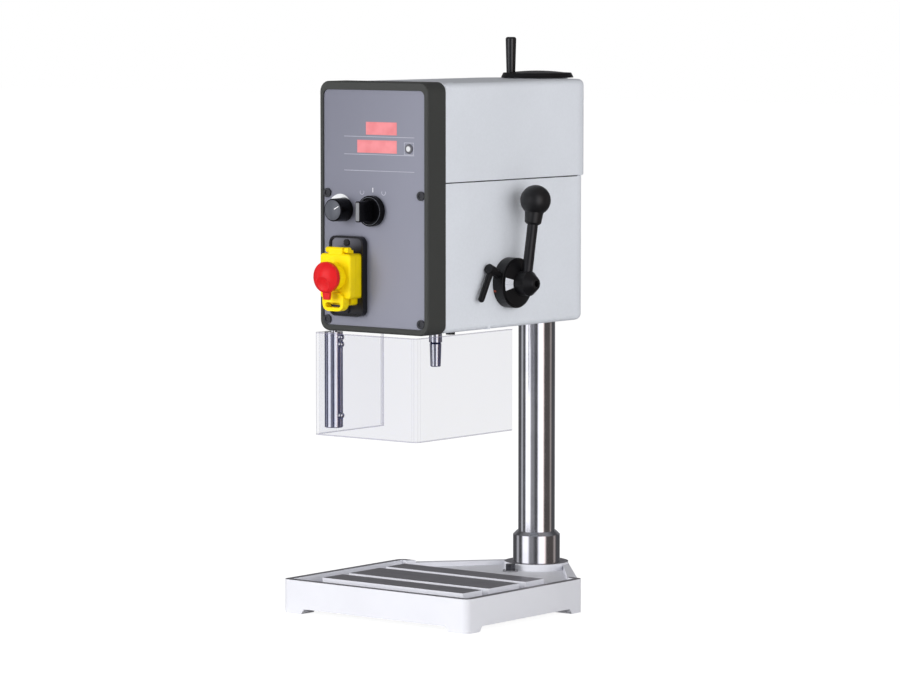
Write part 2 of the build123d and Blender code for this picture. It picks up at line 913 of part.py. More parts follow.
# Front frame: a deep rounded surround with a ledge that carries the panel
with BuildPart() as front_frame:
    with BuildSketch(front_plane(frame_front)):
        with Locations((0, frame_middle)):
            RectangleRounded(2 * casing_half_width, frame_top - frame_bottom, frame_corner)
    extrude(amount=frame_front - casing_front)
    fillet(front_frame.faces().sort_by(Axis.Y)[0].edges(), frame_edge)
    with BuildSketch(front_plane(frame_front)):
        with Locations((0, panel_middle)):
            RectangleRounded(
                2 * (panel_half_width + panel_gap), panel_height + 2 * panel_gap,
                panel_corner + panel_gap,
            )
    extrude(amount=frame_front - panel_back, mode=Mode.SUBTRACT)
    with BuildSketch(front_plane(panel_back)):
        with Locations((0, panel_middle)):
            Rectangle(
                2 * (panel_half_width - ledge_width), panel_height - 2 * ledge_width
            )
    extrude(amount=panel_back - casing_front, mode=Mode.SUBTRACT)
    with BuildSketch(front_plane(ledge_back)):
        with Locations((0, panel_middle)):
            Rectangle(2 * panel_half_width, panel_height)
    extrude(amount=ledge_back - casing_front, mode=Mode.SUBTRACT)
    bar_up(post_x, post_y, frame_bottom, post_journal_top + post_cap, post_boss)
    bar_up(
        post_x, post_y, frame_bottom, post_journal_top + face_gap,
        post_journal + shaft_clearance, mode=Mode.SUBTRACT,
    )
    for x, z in panel_screw_places:
        bar_back(
            x, z, panel_back, panel_face + panel_screw_length, panel_screw_shank,
            mode=Mode.SUBTRACT,
        )
front_frame.part.label = "front_frame"
export_step(front_frame.part, "parts/front_frame.step")

# Instrument panel with its openings
with BuildPart() as front_panel:
    with BuildSketch(front_plane(panel_face)):
        with Locations((0, panel_middle)):
            RectangleRounded(2 * panel_half_width, panel_height, panel_corner)
        with Locations((display_right - speed_display_width / 2, speed_display_middle)):
            Rectangle(speed_display_width, display_height, mode=Mode.SUBTRACT)
        with Locations((display_right - depth_display_width / 2, depth_display_middle)):
            Rectangle(depth_display_width, display_height, mode=Mode.SUBTRACT)
        with Locations((key_x, key_z)):
            Circle(key_radius + face_gap, mode=Mode.SUBTRACT)
        with Locations((knob_x, knob_z)):
            Circle(knob_shaft + face_gap, mode=Mode.SUBTRACT)
        with Locations((mode_x, mode_z)):
            Circle(mode_shaft + face_gap, mode=Mode.SUBTRACT)
        with Locations(panel_screw_places):
            Circle(panel_screw_shank, mode=Mode.SUBTRACT)
    extrude(amount=-panel_thickness)
front_panel.part.label = "front_panel"
export_step(front_panel.part, "parts/front_panel.step")

with BuildPart() as panel_screws:
    for x, z in panel_screw_places:
        bar_back(x, z, panel_face - panel_screw_height, panel_face, panel_screw_head)
        bar_back(x, z, panel_face, panel_face + panel_screw_length, panel_screw_shank)
    with BuildSketch(front_plane(panel_face - panel_screw_height)):
        with Locations(panel_screw_places):
            RegularPolygon(screw_socket / 2, 6, major_radius=False)
    extrude(amount=-panel_screw_height / 2, mode=Mode.SUBTRACT)
panel_screws.part.label = "panel_screws"
export_step(panel_screws.part, "parts/panel_screws.step")

# The two red display blocks, seated on the control board
with BuildPart() as speed_display:
    block(
        display_right - speed_display_width, display_right,
        panel_face - display_proud, board_front,
        speed_display_middle - display_height / 2, speed_display_middle + display_height / 2,
    )
speed_display.part.label = "speed_display"
export_step(speed_display.part, "parts/speed_display.step")

with BuildPart() as depth_display:
    block(
        display_right - depth_display_width, display_right,
        panel_face - display_proud, board_front,
        depth_display_middle - display_height / 2, depth_display_middle + display_height / 2,
    )
depth_display.part.label = "depth_display"
export_step(depth_display.part, "parts/depth_display.step")

# Control board on four standoffs, with the key's switch and the drive's parts behind it
with BuildPart() as control_board:
    board_middle = (board_bottom + board_top) / 2
    with BuildSketch(front_plane(board_front)):
        with Locations((0, board_middle)):
            Rectangle(2 * board_half_width, board_height)
    extrude(amount=-board_thickness)
    with BuildSketch(front_plane(panel_back)):
        with Locations((0, board_middle)):
            with GridLocations(
                2 * board_half_width - 4 * standoff_radius, board_height - 4 * standoff_radius, 2, 2
            ):
                Circle(standoff_radius)
    extrude(amount=panel_back - board_front)
    switch_front = panel_back + key_flange + key_travel + 2 * face_gap
    block(
        key_x - key_switch_half, key_x + key_switch_half, switch_front, board_front,
        key_z - key_switch_half, key_z + key_switch_half,
    )
    board_back = board_front + board_thickness
    drive_low = board_bottom + drive_rise
    for x in (-drive_spacing, 0, drive_spacing):
        block(
            x - drive_block / 2, x + drive_block / 2, board_back, board_back + drive_depth,
            drive_low, drive_low + drive_block,
        )
control_board.part.label = "control_board"
export_step(control_board.part, "parts/control_board.step")

# Zero key with a flange that keeps it behind the panel
with BuildPart() as zero_key:
    flange_front = panel_back + face_gap
    bar_back(key_x, key_z, panel_face - key_proud, flange_front, key_radius)
    bar_back(key_x, key_z, flange_front, flange_front + key_flange, key_radius + key_lip)
    fillet(zero_key.faces().sort_by(Axis.Y)[0].edges(), key_edge)
zero_key.part.label = "zero_key"
export_step(zero_key.part, "parts/zero_key.step")

# Speed knob and the control behind the panel that it turns
with BuildPart() as speed_knob:
    with BuildSketch(front_plane(panel_face - face_gap)):
        with Locations((knob_x, knob_z)):
            Circle(knob_radius)
    extrude(amount=knob_height, taper=knob_taper)
    fillet(speed_knob.faces().sort_by(Axis.Y)[0].edges(), knob_edge)
    bar_back(knob_x, knob_z, panel_face - face_gap, panel_back + pot_depth / 2, knob_shaft)
speed_knob.part.label = "speed_knob"
export_step(speed_knob.part, "parts/speed_knob.step")

with BuildPart() as speed_pot:
    bar_back(knob_x, knob_z, panel_back, panel_back + pot_depth, pot_radius)
    bar_back(
        knob_x, knob_z, panel_back, panel_back + pot_depth / 2 + face_gap,
        knob_shaft + shaft_clearance, mode=Mode.SUBTRACT,
    )
speed_pot.part.label = "speed_pot"
export_step(speed_pot.part, "parts/speed_pot.step")

# Mode selector: fixed ring, turning grip and the switch body behind the panel
with BuildPart() as mode_bezel:
    bar_back(mode_x, mode_z, panel_face - mode_ring_height, panel_face, mode_ring_radius)
    fillet(mode_bezel.faces().sort_by(Axis.Y)[0].edges(), mode_edge)
    bar_back(
        mode_x, mode_z, panel_face - mode_ring_height, panel_face,
        mode_disc_radius + face_gap, mode=Mode.SUBTRACT,
    )
mode_bezel.part.label = "mode_bezel"
export_step(mode_bezel.part, "parts/mode_bezel.step")

with BuildPart() as mode_knob:
    disc_back = panel_face - face_gap
    bar_back(mode_x, mode_z, disc_back - mode_disc_height, disc_back, mode_disc_radius)
    bar_back(mode_x, mode_z, disc_back, panel_back + mode_body_depth / 2, mode_shaft)
    with BuildSketch(front_plane(disc_back - mode_disc_height)):
        with Locations((mode_x, mode_z)):
            RectangleRounded(mode_bar_width, mode_bar_length, mode_bar_corner)
    extrude(amount=mode_reach - mode_disc_height, taper=mode_taper)
    fillet(mode_knob.faces().sort_by(Axis.Y)[0].edges(), mode_edge)
mode_knob.part.label = "mode_knob"
export_step(mode_knob.part, "parts/mode_knob.step")

with BuildPart() as mode_switch:
    with BuildSketch(front_plane(panel_back)):
        with Locations((mode_x, mode_z)):
            Rectangle(mode_body_size, mode_body_size)
    extrude(amount=-mode_body_depth)
    bar_back(
        mode_x, mode_z, panel_back, panel_back + mode_body_depth / 2 + face_gap,
        mode_shaft + shaft_clearance, mode=Mode.SUBTRACT,
    )
mode_switch.part.label = "mode_switch"
export_step(mode_switch.part, "parts/mode_switch.step")

# Safety switch: rimmed plate, box with the start button, and a hinged lid with the stop mushroom
with BuildPart() as switch_plate:
    with BuildSketch(front_plane(panel_face)):
        with Locations((switch_x, plate_z)):
            RectangleRounded(plate_width, plate_height, plate_corner)
    extrude(amount=plate_thickness)
    with BuildSketch(front_plane(plate_face)):
        with Locations((switch_x, plate_z)):
            RectangleRounded(
                plate_width - 2 * plate_rim, plate_height - 2 * plate_rim, plate_corner - plate_rim
            )
    extrude(amount=-plate_recess, mode=Mode.SUBTRACT)
switch_plate.part.label = "switch_plate"
export_step(switch_plate.part, "parts/switch_plate.step")

with BuildPart() as switch_plate_screws:
    for side in (-1, 1):
        height = plate_z + side * plate_screw_offset
        screw_face = plate_floor - plate_screw_height
        bar_back(switch_x, height, screw_face, plate_floor, plate_screw_radius)
        block(
            switch_x - plate_screw_radius, switch_x + plate_screw_radius,
            screw_face, screw_face + plate_screw_height / 2,
            height - plate_screw_slot / 2, height + plate_screw_slot / 2, mode=Mode.SUBTRACT,
        )
switch_plate_screws.part.label = "switch_plate_screws"
export_step(switch_plate_screws.part, "parts/switch_plate_screws.step")

with BuildPart() as switch_box:
    with BuildSketch(front_plane(plate_floor)):
        with Locations((switch_x, box_z)):
            RectangleRounded(box_width, box_height, lid_corner)
    extrude(amount=box_depth)
    # staple block behind the hasp
    with BuildSketch(front_plane(plate_floor)):
        with Locations((switch_x, lid_bottom + (staple_root - staple_drop) / 2)):
            RectangleRounded(hasp_width, staple_drop + staple_root, staple_corner)
    extrude(amount=box_depth)
    with BuildSketch(front_plane(box_face)):
        with Locations((switch_x, box_z)):
            RectangleRounded(box_width - 2 * box_wall, box_height - 2 * box_wall, box_wall)
    extrude(amount=box_face - box_inside, mode=Mode.SUBTRACT)
    bar_back(
        switch_x, box_z + start_rise, box_inside, plate_floor, start_radius / 2, mode=Mode.SUBTRACT
    )
    for side in (-1, 1):
        outer = switch_x + side * hinge_length / 2
        inner = outer - side * hinge_lug
        left = min(outer, inner)
        right = max(outer, inner)
        bar_across(hinge_y, hinge_z, left, right, hinge_radius)
        block(left, right, box_face, box_face + hinge_radius, lid_top - fuse_overlap, hinge_z)
        block(left, right, hinge_y, box_face + hinge_radius, lid_top + 2 * face_gap, hinge_z)
    bar_across(
        hinge_y, hinge_z, switch_x - hinge_length / 2, switch_x + hinge_length / 2,
        hinge_pin_radius + press_clearance, mode=Mode.SUBTRACT,
    )
switch_box.part.label = "switch_box"
export_step(switch_box.part, "parts/switch_box.step")

with BuildPart() as lid_pin:
    bar_across(
        hinge_y, hinge_z, switch_x - hinge_length / 2, switch_x + hinge_length / 2, hinge_pin_radius
    )
lid_pin.part.label = "lid_pin"
export_step(lid_pin.part, "parts/lid_pin.step")

with BuildPart() as start_button:
    button_back = box_inside - face_gap - start_travel
    bar_back(
        switch_x, box_z + start_rise, box_inside - start_height, button_back, start_radius
    )
    bar_back(
        switch_x, box_z + start_rise, button_back, plate_floor - start_travel - face_gap,
        start_radius / 2 - shaft_clearance,
    )
start_button.part.label = "start_button"
export_step(start_button.part, "parts/start_button.step")

with BuildPart() as switch_lid:
    with BuildSketch(front_plane(lid_back)):
        with Locations((switch_x, box_z)):
            RectangleRounded(box_width, box_height, lid_corner)
    extrude(amount=lid_depth)
    fillet(switch_lid.faces().sort_by(Axis.Y)[0].edges(), lid_edge)
    # middle knuckle of the hinge
    knuckle = hinge_length / 2 - hinge_lug - face_gap
    bar_across(hinge_y, hinge_z, switch_x - knuckle, switch_x + knuckle, hinge_radius)
    with BuildSketch(Plane.YZ.offset(switch_x - knuckle)):
        with BuildLine():
            Polyline(
                (hinge_y, lid_top - knuckle_root),
                (hinge_y, hinge_z + hinge_radius),
                (lid_face + knuckle_inset + knuckle_edge, hinge_z + hinge_radius),
                (lid_face + knuckle_inset, hinge_z + hinge_radius - knuckle_edge),
                (lid_face + knuckle_inset, lid_top - knuckle_root),
                close=True,
            )
        make_face()
    extrude(amount=2 * knuckle)
    # hasp below the lid, with a slot for a padlock
    with BuildSketch(front_plane(lid_face - hasp_proud)):
        with Locations((switch_x, lid_bottom + (hasp_root - hasp_drop) / 2)):
            RectangleRounded(hasp_width, hasp_drop + hasp_root, hasp_corner)
        with Locations((switch_x, lid_bottom - hasp_drop / 2)):
            SlotOverall(hasp_slot_length, hasp_slot_width, mode=Mode.SUBTRACT)
    extrude(amount=-hasp_thickness)
    bar_back(switch_x, stop_z, collar_face, lid_face, stop_collar_radius)
    bar_back(
        switch_x, stop_z, collar_face, lid_back, stop_stem + shaft_clearance, mode=Mode.SUBTRACT
    )
    bar_across(
        hinge_y, hinge_z, switch_x - knuckle, switch_x + knuckle,
        hinge_pin_radius + shaft_clearance, mode=Mode.SUBTRACT,
    )
switch_lid.part.label = "switch_lid"
export_step(switch_lid.part, "parts/switch_lid.step")

with BuildPart() as stop_mushroom:
    bar_back(switch_x, stop_z, stop_back, lid_back - stop_travel - face_gap, stop_stem)
    with BuildSketch(Plane.YZ.offset(switch_x)):
        with BuildLine():
            Polyline(
                (stop_apex, stop_z),
                (stop_back, stop_z),
                (stop_back, stop_z + stop_radius),
                (stop_back - stop_rim, stop_z + stop_radius),
            )
            RadiusArc(
                (stop_back - stop_rim, stop_z + stop_radius),
                (stop_apex, stop_z),
                -dome_radius,
            )
        make_face()
    revolve(axis=Axis((switch_x, 0, stop_z), (0, 1, 0)))
    # tongue that hangs below the mushroom, with a rounded neck on each side
    with BuildSketch(front_plane(stop_back)) as tongue:
        with Locations((switch_x, stop_z)):
            Circle(stop_radius)
        with BuildLine():
            Polyline(
                (switch_x - tongue_root_width / 2, stop_z),
                (switch_x - tongue_width / 2, stop_z - tongue_reach),
                (switch_x + tongue_width / 2, stop_z - tongue_reach),
                (switch_x + tongue_root_width / 2, stop_z),
                close=True,
            )
        make_face()
        necks = [
            corner for corner in tongue.vertices()
            if stop_z - stop_radius < corner.Z < stop_z - stop_radius / 2
        ]
        fillet(necks, tongue_neck)
    extrude(amount=tongue_thickness)
    # hollow for the thumb, a shallow scoop square to the dome
    tilt = math.asin(stop_dent_drop / dome_radius)
    chord = math.sqrt(dome_radius**2 - stop_dent_radius**2)
    scoop_radius = (stop_dent_radius**2 + stop_dent_depth**2) / (2 * stop_dent_depth)
    scoop_reach = chord + scoop_radius - stop_dent_depth
    scoop_y = stop_apex + dome_radius - scoop_reach * math.cos(tilt)
    with Locations((switch_x, scoop_y, stop_z - scoop_reach * math.sin(tilt))):
        Sphere(scoop_radius, mode=Mode.SUBTRACT)
stop_mushroom.part.label = "stop_mushroom"
export_step(stop_mushroom.part, "parts/stop_mushroom.step")

# Quill, with the rack cut across its back and a bearing seat at each end
with BuildPart() as quill:
    bar_up(0, 0, quill_bottom, quill_top, quill_radius)
    bar_up(0, 0, quill_bottom, quill_top, quill_bore, mode=Mode.SUBTRACT)
    bar_up(0, 0, quill_bottom, pair_top, bearing_radius, mode=Mode.SUBTRACT)
    bar_up(0, 0, quill_top - bearing_width, quill_top, bearing_radius, mode=Mode.SUBTRACT)
    slope = math.tan(math.radians(pressure_angle))
    root = rack_line - root_depth
    root_half = tooth_pitch / 4 - root_depth * slope
    tip = quill_radius + fuse_overlap
    tip_half = tooth_pitch / 4 + (tip - rack_line) * slope
    gaps_up = math.ceil(feed_travel / tooth_pitch) + rack_spare_teeth
    for gap in range(-rack_spare_teeth, gaps_up + 1):
        height = feed_z + gap * tooth_pitch
        with BuildSketch(Plane.YZ):
            with BuildLine():
                Polyline(
                    (root, height - root_half),
                    (root, height + root_half),
                    (tip, height + tip_half),
                    (tip, height - tip_half),
                    close=True,
                )
            make_face()
        extrude(amount=quill_radius, both=True, mode=Mode.SUBTRACT)
quill.part.label = "quill"
export_step(quill.part, "parts/quill.step")

with BuildPart() as quill_bearings:
    for low in (quill_bottom, pair_top - bearing_width, quill_top - bearing_width):
        bar_up(0, 0, low, low + bearing_width, bearing_radius)
        bar_up(
            0, 0, low, low + bearing_width, bearing_bore + shaft_clearance, mode=Mode.SUBTRACT
        )
quill_bearings.part.label = "quill_bearings"
export_step(quill_bearings.part, "parts/quill_bearings.step")

# Spindle: short nose taper, collar, shaft through the quill, and a keyed drive end
with BuildPart() as spindle:
    with BuildSketch(Plane.XZ):
        with BuildLine():
            Polyline(
                (0, taper_bottom),
                (taper_small - taper_chamfer, taper_bottom),
                (taper_small, taper_bottom + taper_chamfer),
                (taper_big, taper_top),
                (spindle_groove_radius, taper_top),
                (spindle_groove_radius, spindle_collar_bottom),
                (spindle_collar_radius, spindle_collar_bottom),
                (spindle_collar_radius, spindle_collar_top),
                (bearing_bore, spindle_collar_top),
                (bearing_bore, quill_top),
                (spline_radius, quill_top),
                (spline_radius, spline_top),
                (0, spline_top),
                close=True,
            )
        make_face()
    revolve(axis=Axis.Z)
    block(
        -key_width / 2, key_width / 2, 0, spline_radius + key_height,
        quill_top + bearing_width, spline_top,
    )
spindle.part.label = "spindle"
export_step(spindle.part, "parts/spindle.step")

# Spindle pulley on its hollow hub, which turns in two bearings on top of the sleeve
with BuildPart() as spindle_pulley:
    bar_up(0, 0, sleeve_top + face_gap, pulley_bottom, pulley_hub_radius)
    bar_up(0, 0, pulley_bottom, pulley_top, spindle_pulley_radius)
    for low in (pulley_bottom, pulley_top - flange):
        bar_up(0, 0, low, low + flange, spindle_pulley_radius + belt_thickness)
    bar_up(
        0, 0, sleeve_top, pulley_top, spline_radius + shaft_clearance,
        mode=Mode.SUBTRACT,
    )
    block(
        -key_width / 2 - shaft_clearance, key_width / 2 + shaft_clearance, 0,
        spline_radius + key_height + shaft_clearance, sleeve_top, pulley_top,
        mode=Mode.SUBTRACT,
    )
spindle_pulley.part.label = "spindle_pulley"
export_step(spindle_pulley.part, "parts/spindle_pulley.step")

with BuildPart() as pulley_bearings:
    for low in (sleeve_top, carrier_top - carrier_bearing_width):
        bar_up(0, 0, low, low + carrier_bearing_width, carrier_bearing_radius)
        bar_up(
            0, 0, low, low + carrier_bearing_width, pulley_hub_radius + shaft_clearance,
            mode=Mode.SUBTRACT,
        )
pulley_bearings.part.label = "pulley_bearings"
export_step(pulley_bearings.part, "parts/pulley_bearings.step")

# Motor hung under its plate, with the rotor shaft and pulley
with BuildPart() as motor_plate:
    block(
        -motor_plate_half, motor_plate_half, motor_plate_front, motor_plate_back,
        motor_top, casing_seam,
    )
    bar_up(
        0, motor_y, motor_top, casing_seam, motor_plate_hole, mode=Mode.SUBTRACT
    )
    for x, y in screw_places:
        bar_up(
            x, y, motor_top, casing_seam, cover_post_radius + face_gap, mode=Mode.SUBTRACT
        )
motor_plate.part.label = "motor_plate"
export_step(motor_plate.part, "parts/motor_plate.step")

with BuildPart() as motor:
    bar_up(0, motor_y, motor_bottom, motor_top, motor_radius)
    fillet(motor.faces().sort_by(Axis.Z)[0].edges(), motor_wall)
    bar_up(
        0, motor_y, motor_bottom + motor_wall, motor_top,
        motor_shaft_radius + shaft_clearance, mode=Mode.SUBTRACT,
    )
motor.part.label = "motor"
export_step(motor.part, "parts/motor.step")

with BuildPart() as motor_rotor:
    bar_up(
        0, motor_y, motor_bottom + motor_wall + face_gap, pulley_top,
        motor_shaft_radius,
    )
    bar_up(0, motor_y, pulley_bottom, pulley_top, motor_pulley_radius)
    for low in (pulley_bottom, pulley_top - flange):
        bar_up(0, motor_y, low, low + flange, motor_pulley_radius + belt_thickness)
motor_rotor.part.label = "motor_rotor"
export_step(motor_rotor.part, "parts/motor_rotor.step")

with BuildPart() as drive_belt:
    with BuildSketch(Plane.XY.offset(pulley_middle - belt_width / 2)):
        Circle(spindle_pulley_radius + face_gap + belt_thickness)
        with Locations((0, motor_y)):
            Circle(motor_pulley_radius + face_gap + belt_thickness)
        make_hull()
    extrude(amount=belt_width)
    with BuildSketch(Plane.XY.offset(pulley_middle - belt_width / 2)):
        Circle(spindle_pulley_radius + face_gap)
        with Locations((0, motor_y)):
            Circle(motor_pulley_radius + face_gap)
        make_hull()
    extrude(amount=belt_width, mode=Mode.SUBTRACT)
drive_belt.part.label = "drive_belt"
export_step(drive_belt.part, "parts/drive_belt.step")

# Feed shaft with the pinion that drives the quill's rack
with BuildPart() as feed_shaft:
    bar_across(feed_y, feed_z, fuse_overlap - casing_half_width, shaft_end, feed_shaft_radius)
    outline = []
    for tooth in range(pinion_teeth):
        middle = math.pi + tooth * 2 * math.pi / pinion_teeth
        flank = [
            (radius, half_angle(radius))
            for radius in (root_circle, base_circle, pitch_radius, tip_circle)
        ]
        for radius, half in flank:
            outline.append((radius * math.cos(middle - half), radius * math.sin(middle - half)))
        for radius, half in reversed(flank):
            outline.append((radius * math.cos(middle + half), radius * math.sin(middle + half)))
    with BuildSketch(Plane.YZ.offset(-pinion_width / 2)):
        with Locations((feed_y, feed_z)):
            Polygon(*outline, align=None)
    extrude(amount=pinion_width)
feed_shaft.part.label = "feed_shaft"
export_step(feed_shaft.part, "parts/feed_shaft.step")

with BuildPart() as feed_bushes:
    for side in (-1, 1):
        ends = sorted((side * feed_boss_inner, side * casing_half_width))
        bar_across(feed_y, feed_z, ends[0], ends[1], feed_bush_radius)
        bar_across(
            feed_y, feed_z, ends[0], ends[1], feed_shaft_radius + shaft_clearance,
            mode=Mode.SUBTRACT,
        )
feed_bushes.part.label = "feed_bushes"
export_step(feed_bushes.part, "parts/feed_bushes.step")

# Return spring in its cup, on the inner end of the left boss
with BuildPart() as spring_cup:
    cup_left = -feed_boss_inner
    cup_right = cup_left + spring_cup_width
    bar_across(feed_y, feed_z, cup_left, cup_right, spring_cup_radius)
    bar_across(
        feed_y, feed_z, cup_left + spring_cup_wall, cup_right,
        spring_cup_radius - spring_cup_wall, mode=Mode.SUBTRACT,
    )
    bar_across(
        feed_y, feed_z, cup_left, cup_right, feed_shaft_radius + 2 * face_gap, mode=Mode.SUBTRACT
    )
spring_cup.part.label = "spring_cup"
export_step(spring_cup.part, "parts/spring_cup.step")

with BuildPart() as return_spring:
    spring_inner = feed_shaft_radius + face_gap
    spring_outer = spring_cup_radius - spring_cup_wall - spring_thickness
    steps = spring_steps * spring_turns
    inside = []
    outside = []
    for step in range(steps + 1):
        angle = step * 2 * math.pi * spring_turns / steps
        radius = spring_inner + (spring_outer - spring_inner) * step / steps
        inside.append((radius * math.cos(angle), radius * math.sin(angle)))
        radius += spring_thickness
        outside.append((radius * math.cos(angle), radius * math.sin(angle)))
    spring_left = cup_left + spring_cup_wall + face_gap
    with BuildSketch(Plane(origin=(spring_left, feed_y, feed_z), x_dir=(0, 1, 0), z_dir=(1, 0, 0))):
        with BuildLine():
            Spline(*inside)
            Line(inside[-1], outside[-1])
            Spline(*reversed(outside))
            Line(outside[0], inside[0])
        make_face()
    extrude(amount=spring_width)
return_spring.part.label = "return_spring"
export_step(return_spring.part, "parts/return_spring.step")

# Depth stop: fixed ring with a boss for its clamp, turning dial and the dial's scale patch
with BuildPart() as depth_housing:
    bar_across(feed_y, feed_z, side_face, depth_ring_face, depth_ring_radius)
    fillet(depth_housing.faces().sort_by(Axis.X)[-1].edges(), depth_ring_edge)
    clamp_direction = Vector(0, clamp_y - feed_y, clamp_z - feed_z).normalized()
    clamp_root = Vector(clamp_x, feed_y, feed_z) + clamp_direction * (depth_ring_radius - clamp_boss_root)
    clamp_seat = Vector(clamp_x, clamp_y, clamp_z) - clamp_direction * clamp_hub_length / 2
    clamp_plane = Plane(origin=clamp_root, x_dir=(1, 0, 0), z_dir=clamp_direction)
    with BuildSketch(clamp_plane):
        Circle(clamp_boss_radius)
    extrude(amount=(clamp_seat - clamp_root).length)
    bar_across(
        feed_y, feed_z, side_face, depth_ring_face, feed_shaft_radius + shaft_clearance,
        mode=Mode.SUBTRACT,
    )
depth_housing.part.label = "depth_housing"
export_step(depth_housing.part, "parts/depth_housing.step")

with BuildPart() as depth_dial:
    with BuildSketch(feed_plane):
        with BuildLine():
            Polyline(
                (dial_back, feed_shaft_radius + shaft_clearance),
                (dial_face, feed_shaft_radius + shaft_clearance),
                (dial_face, dial_inner),
                (dial_back + dial_rim, dial_outer),
                (dial_back, dial_outer),
                close=True,
            )
        make_face()
    revolve(axis=feed_axis)
depth_dial.part.label = "depth_dial"
export_step(depth_dial.part, "parts/depth_dial.step")

with BuildPart() as depth_scale:
    cone_slope = (dial_width - dial_rim) / (dial_outer - dial_inner)
    scale_low = dial_face - (scale_outer - dial_inner) * cone_slope
    scale_high = dial_face - (scale_inner - dial_inner) * cone_slope
    scale_plane = feed_plane.rotated((180 - scale_angle / 2, 0, 0))
    with BuildSketch(scale_plane):
        with BuildLine():
            Polyline(
                (scale_low, scale_outer),
                (scale_high, scale_inner),
                (scale_high + scale_thickness, scale_inner),
                (scale_low + scale_thickness, scale_outer),
                close=True,
            )
        make_face()
    revolve(axis=feed_axis, revolution_arc=scale_angle)
depth_scale.part.label = "depth_scale"
export_step(depth_scale.part, "parts/depth_scale.step")

with BuildPart() as depth_clamp_lever:
    with BuildSketch(Plane(origin=clamp_seat + clamp_direction * face_gap, z_dir=clamp_direction)):
        Circle(clamp_hub_radius)
    extrude(amount=clamp_hub_length)
    arm_start = Vector(clamp_x, clamp_y, clamp_z)
    arm_run = Vector(0, -clamp_arm_lean, -clamp_arm_drop)
    with BuildSketch(Plane(origin=arm_start, z_dir=arm_run)):
        Circle(clamp_arm_radius)
    extrude(amount=arm_run.length)
    with Locations(arm_start + arm_run):
        Sphere(clamp_arm_radius)
depth_clamp_lever.part.label = "depth_clamp_lever"
export_step(depth_clamp_lever.part, "parts/depth_clamp_lever.step")

# Feed hub, lever rod and ball
with BuildPart() as feed_hub:
    with BuildSketch(feed_plane):
        with BuildLine():
            Polyline(
                (hub_back, 0),
                (hub_tip, 0),
                (hub_tip, hub_tip_radius - hub_chamfer),
                (hub_tip - hub_chamfer, hub_tip_radius),
                (hub_back + 2 * lever_radius, hub_radius),
                (hub_back, hub_radius),
                close=True,
            )
        make_face()
    revolve(axis=feed_axis)
    bar_across(
        feed_y, feed_z, hub_back, shaft_end, feed_shaft_radius, mode=Mode.SUBTRACT
    )
    with BuildSketch(lever_plane):
        Circle(lever_radius)
    extrude(amount=lever_run.length, mode=Mode.SUBTRACT)
    with BuildSketch(Plane.YZ.offset(hub_tip)):
        with Locations((feed_y, feed_z)):
            RegularPolygon(hub_socket / 2, 6, major_radius=False)
    extrude(amount=-hub_socket_depth, mode=Mode.SUBTRACT)
feed_hub.part.label = "feed_hub"
export_step(feed_hub.part, "parts/feed_hub.step")

with BuildPart() as lever_rod:
    with BuildSketch(lever_plane.offset(feed_shaft_radius + lever_seat)):
        Circle(lever_radius)
    extrude(amount=lever_run.length - feed_shaft_radius - lever_seat)
lever_rod.part.label = "lever_rod"
export_step(lever_rod.part, "parts/lever_rod.step")

with BuildPart() as lever_ball:
    with Locations(ball_place):
        Sphere(ball_radius)
    ferrule_top = lever_run.length - ball_radius + ferrule_sink
    ferrule_bottom = lever_run.length - ball_radius - ferrule_length
    with BuildSketch(lever_plane.offset(ferrule_bottom)):
        Circle(ferrule_foot_radius)
    with BuildSketch(lever_plane.offset(ferrule_top)):
        Circle(ferrule_radius)
    loft()
    ferrule_foot = lever_ball.faces().filter_by(GeomType.PLANE).sort_by(Axis.Z)[0]
    chamfer(ferrule_foot.edges(), ferrule_edge)
    with BuildSketch(lever_plane):
        Circle(lever_radius)
    extrude(amount=lever_run.length, mode=Mode.SUBTRACT)
lever_ball.part.label = "lever_ball"
export_step(lever_ball.part, "parts/lever_ball.step")

# Height crank: screw, thrust bearing, wheel and its turning grip
with BuildPart() as lift_screw:
    bar_up(0, column_y, lift_screw_bottom, wheel_bottom, lift_screw_radius)
    collar_low = tower_plate_bottom - lift_bearing_height - face_gap - lift_collar_height
    bar_up(0, column_y, collar_low, collar_low + lift_collar_height, lift_collar_radius)
lift_screw.part.label = "lift_screw"
export_step(lift_screw.part, "parts/lift_screw.step")

with BuildPart() as lift_bearing:
    bar_up(
        0, column_y, tower_plate_bottom - lift_bearing_height, tower_plate_bottom,
        column_radius,
    )
    bar_up(
        0, column_y, tower_plate_bottom - lift_bearing_height, tower_plate_bottom,
        lift_screw_radius + shaft_clearance, mode=Mode.SUBTRACT,
    )
lift_bearing.part.label = "lift_bearing"
export_step(lift_bearing.part, "parts/lift_bearing.step")

with BuildPart() as handwheel:
    with BuildSketch(column_plane):
        with BuildLine():
            Polyline(
                (0, wheel_bottom),
                (wheel_radius - wheel_foot, wheel_bottom),
                (wheel_radius, wheel_bottom + wheel_foot),
                (wheel_radius - wheel_edge, wheel_bottom + wheel_rim),
                (wheel_dome_radius, wheel_bottom + wheel_rim),
            )
            RadiusArc(
                (wheel_dome_radius, wheel_bottom + wheel_rim),
                (0, wheel_face),
                -(wheel_dome_radius**2 + wheel_dome**2) / (2 * wheel_dome),
            )
            Line((0, wheel_face), (0, wheel_bottom))
        make_face()
    revolve(axis=column_axis)
    bar_up(
        grip_x, grip_y, wheel_bottom + wheel_rim, wheel_face,
        grip_radius + grip_seat, mode=Mode.SUBTRACT,
    )
    bar_up(
        grip_x, grip_y, pin_bottom, wheel_face, grip_pin_radius, mode=Mode.SUBTRACT
    )
handwheel.part.label = "handwheel"
export_step(handwheel.part, "parts/handwheel.step")

